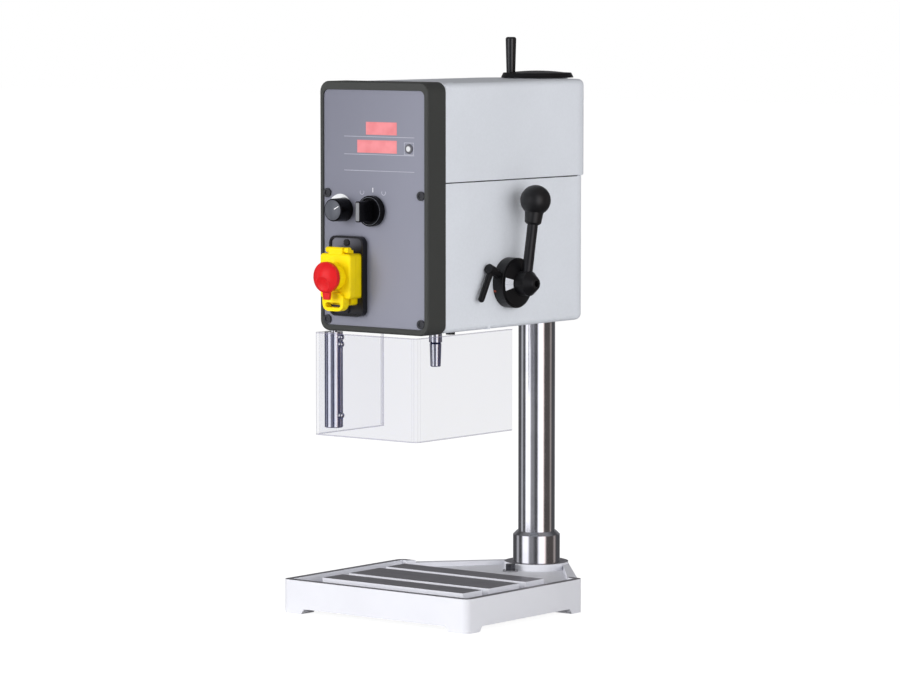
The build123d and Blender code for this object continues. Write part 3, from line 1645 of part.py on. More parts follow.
with BuildPart() as grip_pin:
    bar_up(grip_x, grip_y, pin_bottom, pin_top, grip_pin_radius)
grip_pin.part.label = "grip_pin"
export_step(grip_pin.part, "parts/grip_pin.step")

with BuildPart() as handwheel_grip:
    with BuildSketch(Plane.XY.offset(grip_bottom)):
        with Locations((grip_x, grip_y)):
            Circle(grip_foot_radius)
    with BuildSketch(Plane.XY.offset(grip_top)):
        with Locations((grip_x, grip_y)):
            Circle(grip_radius)
    loft()
    fillet(handwheel_grip.faces().sort_by(Axis.Z)[-1].edges(), grip_edge)
    bar_up(
        grip_x, grip_y, grip_bottom, pin_top + face_gap,
        grip_pin_radius + shaft_clearance, mode=Mode.SUBTRACT,
    )
handwheel_grip.part.label = "handwheel_grip"
export_step(handwheel_grip.part, "parts/handwheel_grip.step")

# Guard: clear bent sheet on a round post that turns in the frame
with BuildPart() as guard_shield:
    with BuildSketch(Plane.XY.offset(guard_bottom)):
        with BuildLine() as guard_path:
            FilletPolyline(
                (guard_left + guard_sheet / 2, guard_left_back),
                (guard_left + guard_sheet / 2, guard_front + guard_sheet / 2),
                (guard_right - guard_sheet / 2, guard_front + guard_sheet / 2),
                (guard_right - guard_sheet / 2, guard_right_back),
                radius=guard_bend,
            )
            offset(amount=guard_sheet / 2, side=Side.BOTH)
        make_face()
    extrude(amount=guard_top - guard_bottom)
guard_shield.part.label = "guard_shield"
export_step(guard_shield.part, "parts/guard_shield.step")

with BuildPart() as guard_post:
    bar_up(post_x, post_y, post_bottom, guard_top, post_radius)
    bar_up(post_x, post_y, guard_top, post_journal_top, post_journal)
    chamfer(guard_post.faces().sort_by(Axis.Z)[0].edges(), post_edge)
    for height in guard_screw_heights:
        bar_across(
            post_y, height, post_x, post_x + post_radius, guard_screw_shank, mode=Mode.SUBTRACT
        )
guard_post.part.label = "guard_post"
export_step(guard_post.part, "parts/guard_post.step")

with BuildPart() as guard_screws:
    for height in guard_screw_heights:
        bar_across(post_y, height, post_x, post_x + post_radius, guard_screw_shank)
        with Locations(Location((post_x + post_radius, post_y, height), (0, 90, 0))):
            Sphere(
                guard_screw_radius, arc_size1=0, align=(Align.CENTER, Align.CENTER, Align.MIN)
            )
guard_screws.part.label = "guard_screws"
export_step(guard_screws.part, "parts/guard_screws.step")

# Switch that senses the guard post, on the frame's lower ledge
with BuildPart() as interlock_switch:
    interlock_left = post_x + post_boss + interlock_gap
    block(
        interlock_left, interlock_left + interlock_width,
        ledge_back, ledge_back + interlock_depth,
        panel_bottom, panel_bottom + ledge_width - interlock_gap,
    )
interlock_switch.part.label = "interlock_switch"
export_step(interlock_switch.part, "parts/interlock_switch.step")

# Column clamp lever at the back of the tower, and the cable gland beside it
with BuildPart() as column_clamp_lever:
    lever_front = tower_back + face_gap
    lever_middle = lever_front + clamp_lever_hub_length / 2
    bar_back(0, clamp_lever_z, lever_front, lever_front + clamp_lever_hub_length, clamp_lever_hub)
    bar_back(
        0, clamp_lever_z, column_y + column_radius + face_gap, lever_front, clamp_lever_stud
    )
    with BuildSketch(Plane(origin=(0, lever_middle, clamp_lever_z), x_dir=(-1, 0, 0), z_dir=(0, 1, 0))):
        with BuildLine():
            neck = math.sqrt(clamp_lever_ball**2 - clamp_lever_arm_radius**2)
            Polyline(
                (clamp_lever_arm + clamp_lever_ball, 0),
                (0, 0),
                (0, clamp_lever_arm_radius),
                (clamp_lever_arm - neck, clamp_lever_arm_radius),
            )
            ThreePointArc(
                (clamp_lever_arm - neck, clamp_lever_arm_radius),
                (clamp_lever_arm, clamp_lever_ball),
                (clamp_lever_arm + clamp_lever_ball, 0),
            )
        make_face()
    revolve(axis=Axis((0, lever_middle, clamp_lever_z), (1, 0, 0)))
column_clamp_lever.part.label = "column_clamp_lever"
export_step(column_clamp_lever.part, "parts/column_clamp_lever.step")

with BuildPart() as cable_gland:
    with BuildSketch(front_plane(casing_back)):
        with Locations((gland_x, gland_z)):
            RegularPolygon(gland_radius, 6)
    extrude(amount=-gland_length / 2)
    bar_back(gland_x, gland_z, casing_back, casing_back + gland_length, gland_nose_radius)
    bar_back(
        gland_x, gland_z, casing_back - casing_wall, casing_back,
        gland_bore + gland_wall - press_clearance,
    )
    bar_back(
        gland_x, gland_z, casing_back - casing_wall, casing_back + gland_length,
        gland_bore, mode=Mode.SUBTRACT,
    )
cable_gland.part.label = "cable_gland"
export_step(cable_gland.part, "parts/cable_gland.step")
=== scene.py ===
# %% [markdown]
# # Dressing a bench drill press
# The machine arrives as a set of finished metal and plastic parts. This lesson gives each part its
# finish, adds the small printed and fitted pieces, and sets up a white studio around it.
# The first step loads the parts.

# %% Load the machine
import math

import bmesh
import bpy
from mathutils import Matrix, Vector


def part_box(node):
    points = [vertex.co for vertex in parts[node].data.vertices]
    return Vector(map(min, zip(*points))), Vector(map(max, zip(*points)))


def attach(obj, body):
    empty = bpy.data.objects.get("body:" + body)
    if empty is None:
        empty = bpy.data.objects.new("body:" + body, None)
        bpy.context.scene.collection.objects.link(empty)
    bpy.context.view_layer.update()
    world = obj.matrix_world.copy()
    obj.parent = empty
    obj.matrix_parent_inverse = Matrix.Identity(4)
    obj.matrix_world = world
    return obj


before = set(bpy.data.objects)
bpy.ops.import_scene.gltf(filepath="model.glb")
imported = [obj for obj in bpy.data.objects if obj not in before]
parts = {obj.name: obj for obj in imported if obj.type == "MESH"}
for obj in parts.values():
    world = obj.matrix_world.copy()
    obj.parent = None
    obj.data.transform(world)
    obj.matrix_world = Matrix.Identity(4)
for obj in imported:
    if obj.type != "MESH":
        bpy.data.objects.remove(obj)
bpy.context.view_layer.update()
MM = 0.001

# %% [markdown]
# ## Writing shader maths as Python
# A finish is a tree of nodes. Adding each node by hand hides the idea behind the wiring, so two
# small classes carry it. A `Wire` is one output socket, and arithmetic on it adds Math nodes.
# A `Finish` is a material being made: one method adds any other node, sets it and wires it.


# %% Wires
class Wire:
    """An output socket whose arithmetic adds Math nodes."""

    def __init__(self, finish, socket):
        self.finish = finish
        self.socket = socket

    def maths(self, operation, *values):
        return self.finish.node("ShaderNodeMath", {"operation": operation}, dict(enumerate(values)))

    def __add__(self, other):
        return self.maths("ADD", self, other)

    def __radd__(self, other):
        return self.maths("ADD", other, self)

    def __sub__(self, other):
        return self.maths("SUBTRACT", self, other)

    def __rsub__(self, other):
        return self.maths("SUBTRACT", other, self)

    def __mul__(self, other):
        return self.maths("MULTIPLY", self, other)

    def __rmul__(self, other):
        return self.maths("MULTIPLY", other, self)

    def __truediv__(self, other):
        return self.maths("DIVIDE", self, other)

    def __rtruediv__(self, other):
        return self.maths("DIVIDE", other, self)

    def __abs__(self):
        return self.maths("ABSOLUTE", self)

    def above(self, level):
        return self.maths("GREATER_THAN", self, level)

    def below(self, level):
        return self.maths("LESS_THAN", self, level)

    def larger(self, other):
        return self.maths("MAXIMUM", self, other)

    def rise(self, low, high):
        """0 below low, 1 above high, and a smooth rise between them."""
        return self.finish.node(
            "ShaderNodeMapRange",
            {"interpolation_type": "SMOOTHSTEP"},
            {"Value": self, "From Min": low, "From Max": high, "To Min": 0.0, "To Max": 1.0},
        )


print("wires ready")

# %% Finishes
# A Mix node has sockets for numbers, vectors and colours. These are the numbers of its colour sockets.
MIX_SHARE, MIX_LOW, MIX_HIGH = 0, 6, 7
MIX_RESULT = 2


class Finish:
    """A material, or the world's light, being made from nodes."""

    def __init__(self, name, tree=None):
        if tree is None:
            self.material = bpy.data.materials.new(name)
            self.material.use_nodes = True
            tree = self.material.node_tree
        self.tree = tree
        self.shader = tree.nodes.get("Principled BSDF")

    def node(self, kind, settings=None, sockets=None, output=0):
        """Add a node, set it first, then fill or wire its sockets. Returns one output as a wire."""
        made = self.tree.nodes.new(kind)
        for name, value in (settings or {}).items():
            setattr(made, name, value)
        for key, value in (sockets or {}).items():
            self.feed(made.inputs[key], value)
        return Wire(self, made.outputs[output])

    def feed(self, socket, value):
        if isinstance(value, Wire):
            self.tree.links.new(value.socket, socket)
        else:
            socket.default_value = value

    def set(self, **sockets):
        """Fill the shader's own sockets, named with underscores for spaces."""
        for name, value in sockets.items():
            self.feed(self.shader.inputs[name.replace("_", " ")], value)
        return self.material

    def show(self, output, shader):
        """Wire a shader to the tree's last node, in place of the Principled one."""
        self.feed(self.tree.nodes[output].inputs["Surface"], shader)

    def place(self):
        """Object coordinates in metres, which stay with the part when it moves."""
        return self.node("ShaderNodeTexCoord", output="Object")

    def facing(self):
        """The part's own surface direction."""
        return self.node("ShaderNodeTexCoord", output="Normal")

    def split(self, vector):
        """The three numbers of a vector."""
        first = self.node("ShaderNodeSeparateXYZ", sockets={0: vector})
        return [Wire(self, socket) for socket in first.socket.node.outputs]

    def vectors(self, operation, *values):
        return self.node("ShaderNodeVectorMath", {"operation": operation}, dict(enumerate(values)))

    def stretch(self, vector, scale):
        return self.vectors("MULTIPLY", vector, scale)

    def lean(self, rise):
        """The surface direction tipped upward, or nothing where the rise is 0."""
        if rise == 0:
            return None
        return self.vectors("NORMALIZE", self.vectors("ADD", self.facing(), (0.0, 0.0, rise)))

    def noise(self, vector, scale, detail=2.0):
        return self.node(
            "ShaderNodeTexNoise", {}, {"Vector": vector, "Scale": scale, "Detail": detail}
        )

    def between(self, share, low, high):
        """A colour from low, at share 0, to high, at share 1."""
        sockets = {MIX_SHARE: share, MIX_LOW: low, MIX_HIGH: high}
        return self.node("ShaderNodeMix", {"data_type": "RGBA"}, sockets, MIX_RESULT)

    def bump(self, height, distance, strength, normal=None):
        sockets = {"Height": height, "Distance": distance, "Strength": strength}
        if normal is not None:
            sockets["Normal"] = normal
        return self.node("ShaderNodeBump", {}, sockets)


def shade(colour, factor):
    """A colour made lighter or darker, with an alpha of 1."""
    return tuple(channel * factor for channel in colour) + (1.0,)


print("finishes ready")

# %% [markdown]
# ## Painted metal
# The head is painted with a fine textured lacquer, which hides marks from the workshop. A picture of
# paint would show seams on the round corners, so noise in the part's own space is used. Grains of about
# a millimetre and a wider peel drive the bump, and a slow cloud keeps a large wall from looking flat.
# One recipe serves the head, the cover, the motor and the front frame, with other colours and grains.

# %% Textured paint
FINE_DETAIL = 3.0
PEEL_SHARE = 0.3
PAINT_CLOUDS = 7.0


def textured_paint(name, colour, grain, relief, roughness, gloss=0.5):
    finish = Finish(name)
    place = finish.place()
    grains = finish.noise(place, 1 / grain, FINE_DETAIL)
    peel = finish.noise(place, PEEL_SHARE / grain)
    cloud = finish.noise(place, PAINT_CLOUDS)
    tone = (0.5 * cloud + 0.25 * grains + 0.25 * peel).rise(0.25, 0.75)
    return finish.set(
        Base_Color=finish.between(tone, shade(colour, 0.95), shade(colour, 1.04)),
        Roughness=roughness - 0.08 + 0.16 * grains,
        Normal=finish.bump(0.4 * grains + 0.6 * peel, relief, 0.8),
        Specular_IOR_Level=gloss,
    )


casing_paint = textured_paint("casing_paint", (0.775, 0.805, 0.865), 1.1 * MM, 0.25 * MM, 0.50)
motor_paint = textured_paint("motor_paint", (0.16, 0.17, 0.19), 0.8 * MM, 0.10 * MM, 0.45)
frame_plastic = textured_paint(
    "frame_plastic", (0.045, 0.047, 0.045), 0.7 * MM, 0.08 * MM, 0.50, 0.30
)
print("paints", casing_paint.name, motor_paint.name, frame_plastic.name)

# %% [markdown]
# ## The base: paint with ground tops
# The base is a white painted casting whose table strips and rim are ground bare after painting. The
# bare places are all above one height and face up, so two numbers find them: the height of a point and
# the upward part of its direction. The grinding leaves fine lines along the strips.

# %% Base paint and ground iron
TABLE_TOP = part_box("base_casting")[1].z
GROUND_DEPTH = 1.4 * MM
FACING = 0.9
BASE_GRAIN = 1.6 * MM
BASE_CLOUDS = 9.0
GRINDING_LINES = (6.0, 900.0, 1.0)
PAINT_TONES = ((0.76, 0.765, 0.815, 1), (0.81, 0.815, 0.865, 1))
IRON_TONES = ((0.31, 0.30, 0.32, 1), (0.46, 0.45, 0.47, 1))


def base_paint():
    finish = Finish("base_paint")
    place = finish.place()
    height = finish.split(place)[2]
    upward = finish.split(finish.facing())[2]
    ground = height.above(TABLE_TOP - GROUND_DEPTH) * upward.above(FACING)
    grains = finish.noise(place, 1 / BASE_GRAIN, FINE_DETAIL)
    cloud = finish.noise(place, BASE_CLOUDS, FINE_DETAIL)
    lines = finish.noise(finish.stretch(place, GRINDING_LINES), 1.0, FINE_DETAIL)
    paint = finish.between(cloud.rise(0.25, 0.75), *PAINT_TONES)
    iron = finish.between(lines.rise(0.3, 0.7), *IRON_TONES)
    return finish.set(
        Base_Color=finish.between(ground, paint, iron),
        Metallic=ground,
        Roughness=0.40 + 0.12 * grains - ground * (0.10 - 0.12 * lines),
        Normal=finish.bump(grains * (1 - ground) + 0.25 * lines * ground, 0.10 * MM, 0.5),
    )


white_base = base_paint()
print("base ground above", round(TABLE_TOP - GROUND_DEPTH, 4))

# %% [markdown]
# ## Bare metals
# The column, collar, post and spindle are ground and polished. Their look is almost all reflection,
# so the shader only needs the metal's tint, a low roughness and the faint rings that a grinding wheel
# leaves around a shaft. The rings are a noise squeezed along the shaft. The low collar would mirror the
# white base, so its surface direction leans up a little and it mirrors the room's windows instead.

# %% Ground steel and machined metal
STAINS = 30.0
PAINTED_GROOVE_SHADE = (0.01, 0.01, 0.012, 1.0)


def ground_metal(name, colour, roughness, rings, relief, lean=0.0, groove_shade=None):
    """A lean tips the mirrored view upward. The groove heights bound a ring of painted shade, where a
    groove's shadow falls.
    """
    finish = Finish(name)
    place = finish.place()
    lines = finish.noise(finish.stretch(place, rings), 1.0)
    stains = finish.noise(place, STAINS)
    tint = finish.between(stains.rise(0.3, 0.7), shade(colour, 0.93), shade(colour, 1.02))
    # Painted shade: a dark ring on the spindle's nose stands for the shadow in a groove.
    if groove_shade:
        height = finish.split(place)[2]
        tint = finish.between(height.above(groove_shade[0]) * height.below(groove_shade[1]), tint, PAINTED_GROOVE_SHADE)
    return finish.set(
        Base_Color=tint,
        Metallic=1.0,
        Roughness=roughness + 0.5 * roughness * (lines - 0.5) + 0.06 * (stains - 0.5),
        Normal=finish.bump(lines, relief, 0.35, finish.lean(lean)),
    )


print("metal recipe ready")

# %% The metals
UPRIGHT_RINGS = (20.0, 20.0, 3500.0)
ACROSS_RINGS = (2200.0, 30.0, 30.0)
EVEN_GRAIN = (400.0, 400.0, 400.0)
POLISHED_TINT = (0.66, 0.665, 0.69)
MACHINED_TINT = (0.56, 0.57, 0.59)
POLISHED = 0.13
POLISHED_RELIEF = 0.003 * MM
COLLAR_LEAN = 0.12
NOSE_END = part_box("spindle")[0].z
NOSE_GROOVE_SHADE = (NOSE_END + 30.0 * MM, NOSE_END + 32.6 * MM)

polished_steel = ground_metal("polished_steel", POLISHED_TINT, POLISHED, UPRIGHT_RINGS, POLISHED_RELIEF)
collar_steel = ground_metal(
    "collar_steel", (0.60, 0.60, 0.625), POLISHED, UPRIGHT_RINGS, POLISHED_RELIEF, lean=COLLAR_LEAN
)
spindle_steel = ground_metal(
    "spindle_steel", POLISHED_TINT, POLISHED, UPRIGHT_RINGS, POLISHED_RELIEF, groove_shade=NOSE_GROOVE_SHADE
)
washer_steel = ground_metal("washer_steel", (0.42, 0.42, 0.43), 0.24, UPRIGHT_RINGS, 0.008 * MM)
gun_metal = ground_metal("gun_metal", (0.10, 0.10, 0.11), 0.22, UPRIGHT_RINGS, 0.004 * MM)
machined_steel = ground_metal("machined_steel", MACHINED_TINT, 0.28, UPRIGHT_RINGS, 0.012 * MM)
turned_steel = ground_metal("turned_steel", MACHINED_TINT, 0.26, ACROSS_RINGS, 0.012 * MM)
bright_zinc = ground_metal("bright_zinc", (0.70, 0.70, 0.68), 0.20, EVEN_GRAIN, 0.008 * MM)
bronze = ground_metal("bronze", (0.62, 0.42, 0.19), 0.25, UPRIGHT_RINGS, 0.010 * MM)
pulley_metal = ground_metal("pulley_metal", (0.72, 0.73, 0.74), 0.24, UPRIGHT_RINGS, 0.010 * MM)
spring_steel = ground_metal("spring_steel", (0.20, 0.22, 0.27), 0.26, ACROSS_RINGS, 0.004 * MM)
print("metals", polished_steel.name, machined_steel.name, bright_zinc.name)

# %% [markdown]
# ## Plastics
# Handles and knobs are moulded with a fine spark-eroded grain, and the switch housing is smoother with
# a gloss. Both are the same recipe: a fine noise in the roughness and the bump, and a number that says
# how strongly the skin mirrors the room. Blacked steel and thin prints look alike enough to share it.

# %% Moulded plastic
PLASTIC_CLOUDS = 25.0


def moulded_plastic(name, colour, roughness, grain, relief, gloss=0.5):
    finish = Finish(name)
    place = finish.place()
    grains = finish.noise(place, 1 / grain)
    cloud = finish.noise(place, PLASTIC_CLOUDS)
    return finish.set(
        Base_Color=finish.between(cloud.rise(0.25, 0.75), shade(colour, 0.92), shade(colour, 1.05)),
        Roughness=roughness - 0.05 + 0.10 * grains,
        Normal=finish.bump(grains, relief, 0.4),
        Specular_IOR_Level=gloss,
    )


print("plastic recipe ready")

# %% The plastics
black_plastic = moulded_plastic("black_plastic", (0.006, 0.006, 0.007), 0.38, 0.45 * MM, 0.03 * MM, 0.3)
ball_black = moulded_plastic("ball_black", (0.006, 0.006, 0.007), 0.42, 0.6 * MM, 0.02 * MM)
gloss_black = moulded_plastic("gloss_black", (0.005, 0.005, 0.006), 0.24, 0.6 * MM, 0.01 * MM, 0.7)
deep_black = moulded_plastic("deep_black", (0.003, 0.003, 0.004), 0.26, 0.6 * MM, 0.01 * MM, 0.12)
black_steel = moulded_plastic("black_steel", (0.009, 0.009, 0.011), 0.34, 0.35 * MM, 0.02 * MM, 0.4)
grey_plastic = moulded_plastic("grey_plastic", (0.35, 0.35, 0.36), 0.45, 0.5 * MM, 0.02 * MM)
yellow_plastic = moulded_plastic("yellow_plastic", (0.95, 0.71, 0.003), 0.35, 0.7 * MM, 0.02 * MM, 0.2)
red_plastic = moulded_plastic("red_plastic", (0.66, 0.009, 0.012), 0.32, 0.8 * MM, 0.01 * MM, 0.35)
green_plastic = moulded_plastic("green_plastic", (0.02, 0.42, 0.10), 0.32, 0.8 * MM, 0.01 * MM)
board_green = moulded_plastic("board_green", (0.03, 0.20, 0.08), 0.38, 2.0 * MM, 0.05 * MM)
belt_rubber = moulded_plastic("belt_rubber", (0.018, 0.018, 0.018), 0.75, 0.5 * MM, 0.06 * MM, 0.3)
white_print = moulded_plastic("white_print", (0.80, 0.81, 0.83), 0.45, 0.3 * MM, 0.005 * MM)
grey_print = moulded_plastic("grey_print", (0.42, 0.43, 0.50), 0.45, 0.3 * MM, 0.005 * MM)
cap_grey = moulded_plastic("cap_grey", (0.086, 0.092, 0.110), 0.36, 0.25 * MM, 0.02 * MM)
screw_grey = moulded_plastic("screw_grey", (0.022, 0.023, 0.028), 0.36, 0.25 * MM, 0.02 * MM)
grip_grey = moulded_plastic("grip_grey", (0.20, 0.205, 0.22), 0.36, 0.25 * MM, 0.02 * MM)
key_grey = moulded_plastic("key_grey", (0.10, 0.10, 0.115), 0.30, 0.4 * MM, 0.01 * MM)
key_white = moulded_plastic("key_white", (0.62, 0.63, 0.65), 0.25, 0.4 * MM, 0.01 * MM)
index_red = moulded_plastic("index_red", (0.34, 0.045, 0.018), 0.40, 0.3 * MM, 0.01 * MM)
print("plastics ready, first", black_plastic.name)

# %% [markdown]
# ## Panel foil, displays and switch plate
# The panel is a blue-grey satin foil with a painted sheen that lightens it towards its lower right. The
# displays are red windows with a faint painted glow. The switch stands on a black plate with a sunk face
# that carries a painted slate sheen at its upper left. Each fade is a share of the part's own box, so it
# stays right if the part changes its size.

# %% Panel foil
PANEL_LOW, PANEL_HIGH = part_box("front_panel")
PANEL_SIZE = PANEL_HIGH - PANEL_LOW
FOIL_GRAIN = 0.5 * MM
FOIL_CLOUDS = 9.0
FOIL_SHEEN_TONES = ((0.160, 0.164, 0.208, 1), (0.236, 0.242, 0.300, 1))


def panel_foil():
    finish = Finish("panel_skin")
    place = finish.place()
    x, _, z = finish.split(place)
    rightward = (x - PANEL_LOW.x) / PANEL_SIZE.x
    downward = (PANEL_HIGH.z - z) / PANEL_SIZE.z
    grains = finish.noise(place, 1 / FOIL_GRAIN)
    cloud = finish.noise(place, FOIL_CLOUDS)
    # Painted sheen: the foil's colour is made lighter towards its lower right, where the room's light
    # would shine on it.
    painted_sheen = 0.55 * rightward + 0.35 * downward + 0.10 * cloud
    return finish.set(
        Base_Color=finish.between(painted_sheen.rise(-0.1, 1.0), *FOIL_SHEEN_TONES),
        Roughness=0.33 + 0.06 * grains,
        Normal=finish.bump(grains, 0.006 * MM, 0.4),
    )


panel_skin = panel_foil()
print("foil over", round(PANEL_SIZE.x, 4), "by", round(PANEL_SIZE.z, 4))

# %% Red windows
WINDOW_CLOUDS = 60.0
GLASS_TONES = ((0.50, 0.10, 0.11, 1), (0.56, 0.14, 0.15, 1))
PAINTED_GLOW_TONES = ((0.80, 0.42, 0.46, 1), (0.92, 0.52, 0.56, 1))


def red_window():
    finish = Finish("display_red")
    cloud = finish.noise(finish.place(), WINDOW_CLOUDS)
    share = cloud.rise(0.2, 0.8)
    return finish.set(
        Base_Color=finish.between(share, *GLASS_TONES),
        # Painted glow: the red windows give off a faint light of their own.
        Emission_Color=finish.between(share, *PAINTED_GLOW_TONES),
        Emission_Strength=0.27,
        Roughness=0.18 + 0.08 * cloud,
    )


display_red = red_window()
print("windows", display_red.name)

# %% Switch plate
PLATE_LOW, PLATE_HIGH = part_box("switch_plate")
PLATE_SIZE = PLATE_HIGH - PLATE_LOW
PLATE_RIM = 1.5 * MM
PLATE_GRAIN = 0.6 * MM
PLATE_BLACK = (0.006, 0.006, 0.008, 1)
FACE_SHEEN_TONES = ((0.016, 0.016, 0.021, 1), (0.150, 0.152, 0.184, 1))


def switch_skin():
    """The sunk face is what faces the operator and lies deeper than the rim; a painted slate sheen
    lights its upper left.
    """
    finish = Finish("switch_skin")
    place = finish.place()
    x, y, z = finish.split(place)
    back = finish.split(finish.facing())[1]
    face = y.above(PLATE_LOW.y + PLATE_RIM) * back.below(-FACING)
    leftward = (PLATE_HIGH.x - x) / PLATE_SIZE.x
    upward = (z - PLATE_LOW.z) / PLATE_SIZE.z
    grains = finish.noise(place, 1 / PLATE_GRAIN)
    # Painted sheen: the sunk face is painted slate towards its upper left and fades to black below.
    painted_sheen = 0.50 * leftward + 0.68 * upward + 0.04 * grains
    face_sheen = finish.between(painted_sheen.rise(0.55, 1.15), *FACE_SHEEN_TONES)
    return finish.set(
        Base_Color=finish.between(face, PLATE_BLACK, face_sheen),
        Roughness=0.27 + 0.08 * grains,
        Specular_IOR_Level=0.35,
    )


plate_skin = switch_skin()
print("plate face deeper than", round(PLATE_LOW.y + PLATE_RIM, 4))

# %% [markdown]
# ## The clear guard
# The guard is one bent sheet of clear plastic. Its faces are nearly invisible, and its cut edges and
# its bends catch a lavender grey from light bent inside the sheet. Real glass shading would need many
# light bounces for such a thin sheet, so the sheet is mostly transparent, and that light is painted: the
# places near its edges are made denser and lavender, and its bends carry a painted highlight.

# %% Clear sheet
GUARD_LOW, GUARD_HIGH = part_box("guard_shield")
GUARD_LINE = 1.3 * MM
GUARD_BEND = 8.0 * MM
BEND_HALF = 0.5 * MM
LEFT_PANEL_BACK = 0.5 * MM
SIDE_FACING = 0.7
SMEARS = (14.0, 14.0, 5.0)
SHEET_TINT = (0.03, 0.045, 0.22, 1)
EDGE_LIGHT_TINT = (0.26, 0.25, 0.38, 1)
SHEET_HAZE = 0.092
LEFT_SIDE_CLEARER = 0.074
EDGE_LIGHT_HAZE = 0.26
BEND_HIGHLIGHT_HAZE = 0.07


def clear_sheet():
    finish = Finish("clear_sheet")
    place = finish.place()
    x, y, z = finish.split(place)
    across, back, _ = finish.split(finish.facing())
    left_half = x.below(0.0)
    rims = z.below(GUARD_LOW.z + GUARD_LINE).larger(z.above(GUARD_HIGH.z - GUARD_LINE))
    left_edge = left_half * y.above(LEFT_PANEL_BACK - GUARD_LINE)
    corner = x.below(GUARD_LOW.x + GUARD_LINE) * y.below(GUARD_LOW.y + GUARD_BEND)
    # Painted light: the cut edges are painted denser and lavender, where light bent in the sheet shows.
    lit_edges = rims.larger(left_edge).larger(corner)
    # Painted highlight: a thin denser line along each of the two bends.
    front_bend = abs(x - (GUARD_HIGH.x - GUARD_BEND)).below(BEND_HALF) * abs(back).above(FACING)
    side_bend = abs(y - (GUARD_LOW.y + GUARD_BEND)).below(BEND_HALF) * abs(across).above(FACING)
    bend_highlights = front_bend.larger(side_bend)
    smears = finish.noise(finish.stretch(place, SMEARS), 1.0, FINE_DETAIL)
    left_side = left_half * abs(across).above(SIDE_FACING)
    haze = SHEET_HAZE + 0.01 * smears - LEFT_SIDE_CLEARER * left_side
    return finish.set(
        Base_Color=finish.between(lit_edges, SHEET_TINT, EDGE_LIGHT_TINT),
        Alpha=haze + EDGE_LIGHT_HAZE * lit_edges + BEND_HIGHLIGHT_HAZE * bend_highlights,
        Roughness=0.05 + 0.05 * smears,
        Specular_IOR_Level=0.2,
    )


guard_clear = clear_sheet()
print("guard edges", GUARD_LINE, "bend", GUARD_BEND)

# %% [markdown]
# ## The dial's scale
# The depth dial carries a pale printed patch with fine ticks. Modelled ticks would be hundreds of tiny
# faces, so the angle round the dial's middle is cut into equal steps, and a part of each step is dark.

# %% Ticks by angle
FEED_LOW, FEED_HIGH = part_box("depth_dial")
FEED_MIDDLE = (FEED_LOW + FEED_HIGH) / 2
TICK_DEGREES = 3.2
TICK_SHARE = 0.22
SCALE_GRAIN = 0.4 * MM
SCALE_TONES = ((0.80, 0.82, 0.88, 1), (0.86, 0.88, 0.93, 1))
TICK_GREY = (0.36, 0.38, 0.44, 1)


def dial_scale():
    finish = Finish("dial_scale")
    place = finish.place()
    _, y, z = finish.split(place)
    angle = y.maths("ARCTAN2", z - FEED_MIDDLE.z, y - FEED_MIDDLE.y)
    steps = angle * math.degrees(1 / TICK_DEGREES)
    tick = steps.maths("FRACT", steps).below(TICK_SHARE)
    grains = finish.noise(place, 1 / SCALE_GRAIN)
    return finish.set(
        Base_Color=finish.between(tick, finish.between(grains, *SCALE_TONES), TICK_GREY),
        Roughness=0.38 + 0.10 * grains,
    )


scale_silver = dial_scale()
print("ticks every", TICK_DEGREES, "degrees")

# %% [markdown]
# ## Dressing the parts
# Each part now takes its finish. The table below reads like a parts list, so a change of finish is a
# change of one word.

# %% Give every part its finish
DRESS = {
    casing_paint: ["head_casting", "top_cover"],
    motor_paint: ["motor"],
    frame_plastic: ["front_frame"],
    white_base: ["base_casting"],
    panel_skin: ["front_panel"],
    display_red: ["speed_display", "depth_display"],
    guard_clear: ["guard_shield"],
    polished_steel: ["column", "guard_post"],
    spindle_steel: ["spindle"],
    collar_steel: ["column_collar"],
    machined_steel: [
        "motor_plate", "pulley_bearings", "lift_bearing", "lift_screw", "grip_pin",
        "quill", "quill_bearings", "motor_rotor",
    ],
    turned_steel: ["feed_shaft", "spring_cup"],
    bright_zinc: ["guard_screws"],
    washer_steel: ["hold_down_washer"],
    gun_metal: ["hold_down_screw"],
    bronze: ["lift_nut", "feed_bushes"],
    pulley_metal: ["spindle_pulley"],
    spring_steel: ["return_spring"],
    scale_silver: ["depth_scale"],
    black_plastic: [
        "interlock_switch", "cable_gland", "depth_housing", "handwheel", "depth_dial",
        "depth_clamp_lever", "column_clamp_lever", "feed_hub",
    ],
    ball_black: ["lever_ball"],
    gloss_black: ["handwheel_grip"],
    deep_black: ["speed_knob", "mode_bezel", "mode_knob"],
    screw_grey: ["panel_screws"],
    plate_skin: ["switch_plate"],
    black_steel: ["casing_screws", "switch_plate_screws", "lever_rod"],
    grey_plastic: ["speed_pot", "mode_switch"],
    yellow_plastic: ["switch_box", "switch_lid", "lid_pin"],
    red_plastic: ["stop_mushroom"],
    green_plastic: ["start_button"],
    board_green: ["control_board"],
    belt_rubber: ["drive_belt"],
    key_grey: ["zero_key"],
}
for material, names in DRESS.items():
    for name in names:
        mesh = parts[name].data
        mesh.materials.clear()
        mesh.materials.append(material)
undressed = set(parts) - {name for names in DRESS.values() for name in names}
print("dressed", len(parts) - len(undressed), "left bare", sorted(undressed))

# %% [markdown]
# ## Printed marks on the panel
# The panel carries thin ruled lines, a square round the zero key, and marks above the two knobs. They
# are flat prints, so each is a thin raised outline a tenth of a millimetre high. All small pieces in
# this lesson are rings of points joined one after the other, so two helpers make them all: one joins
# the rings, and one turns the shape into a piece that rides on a body.


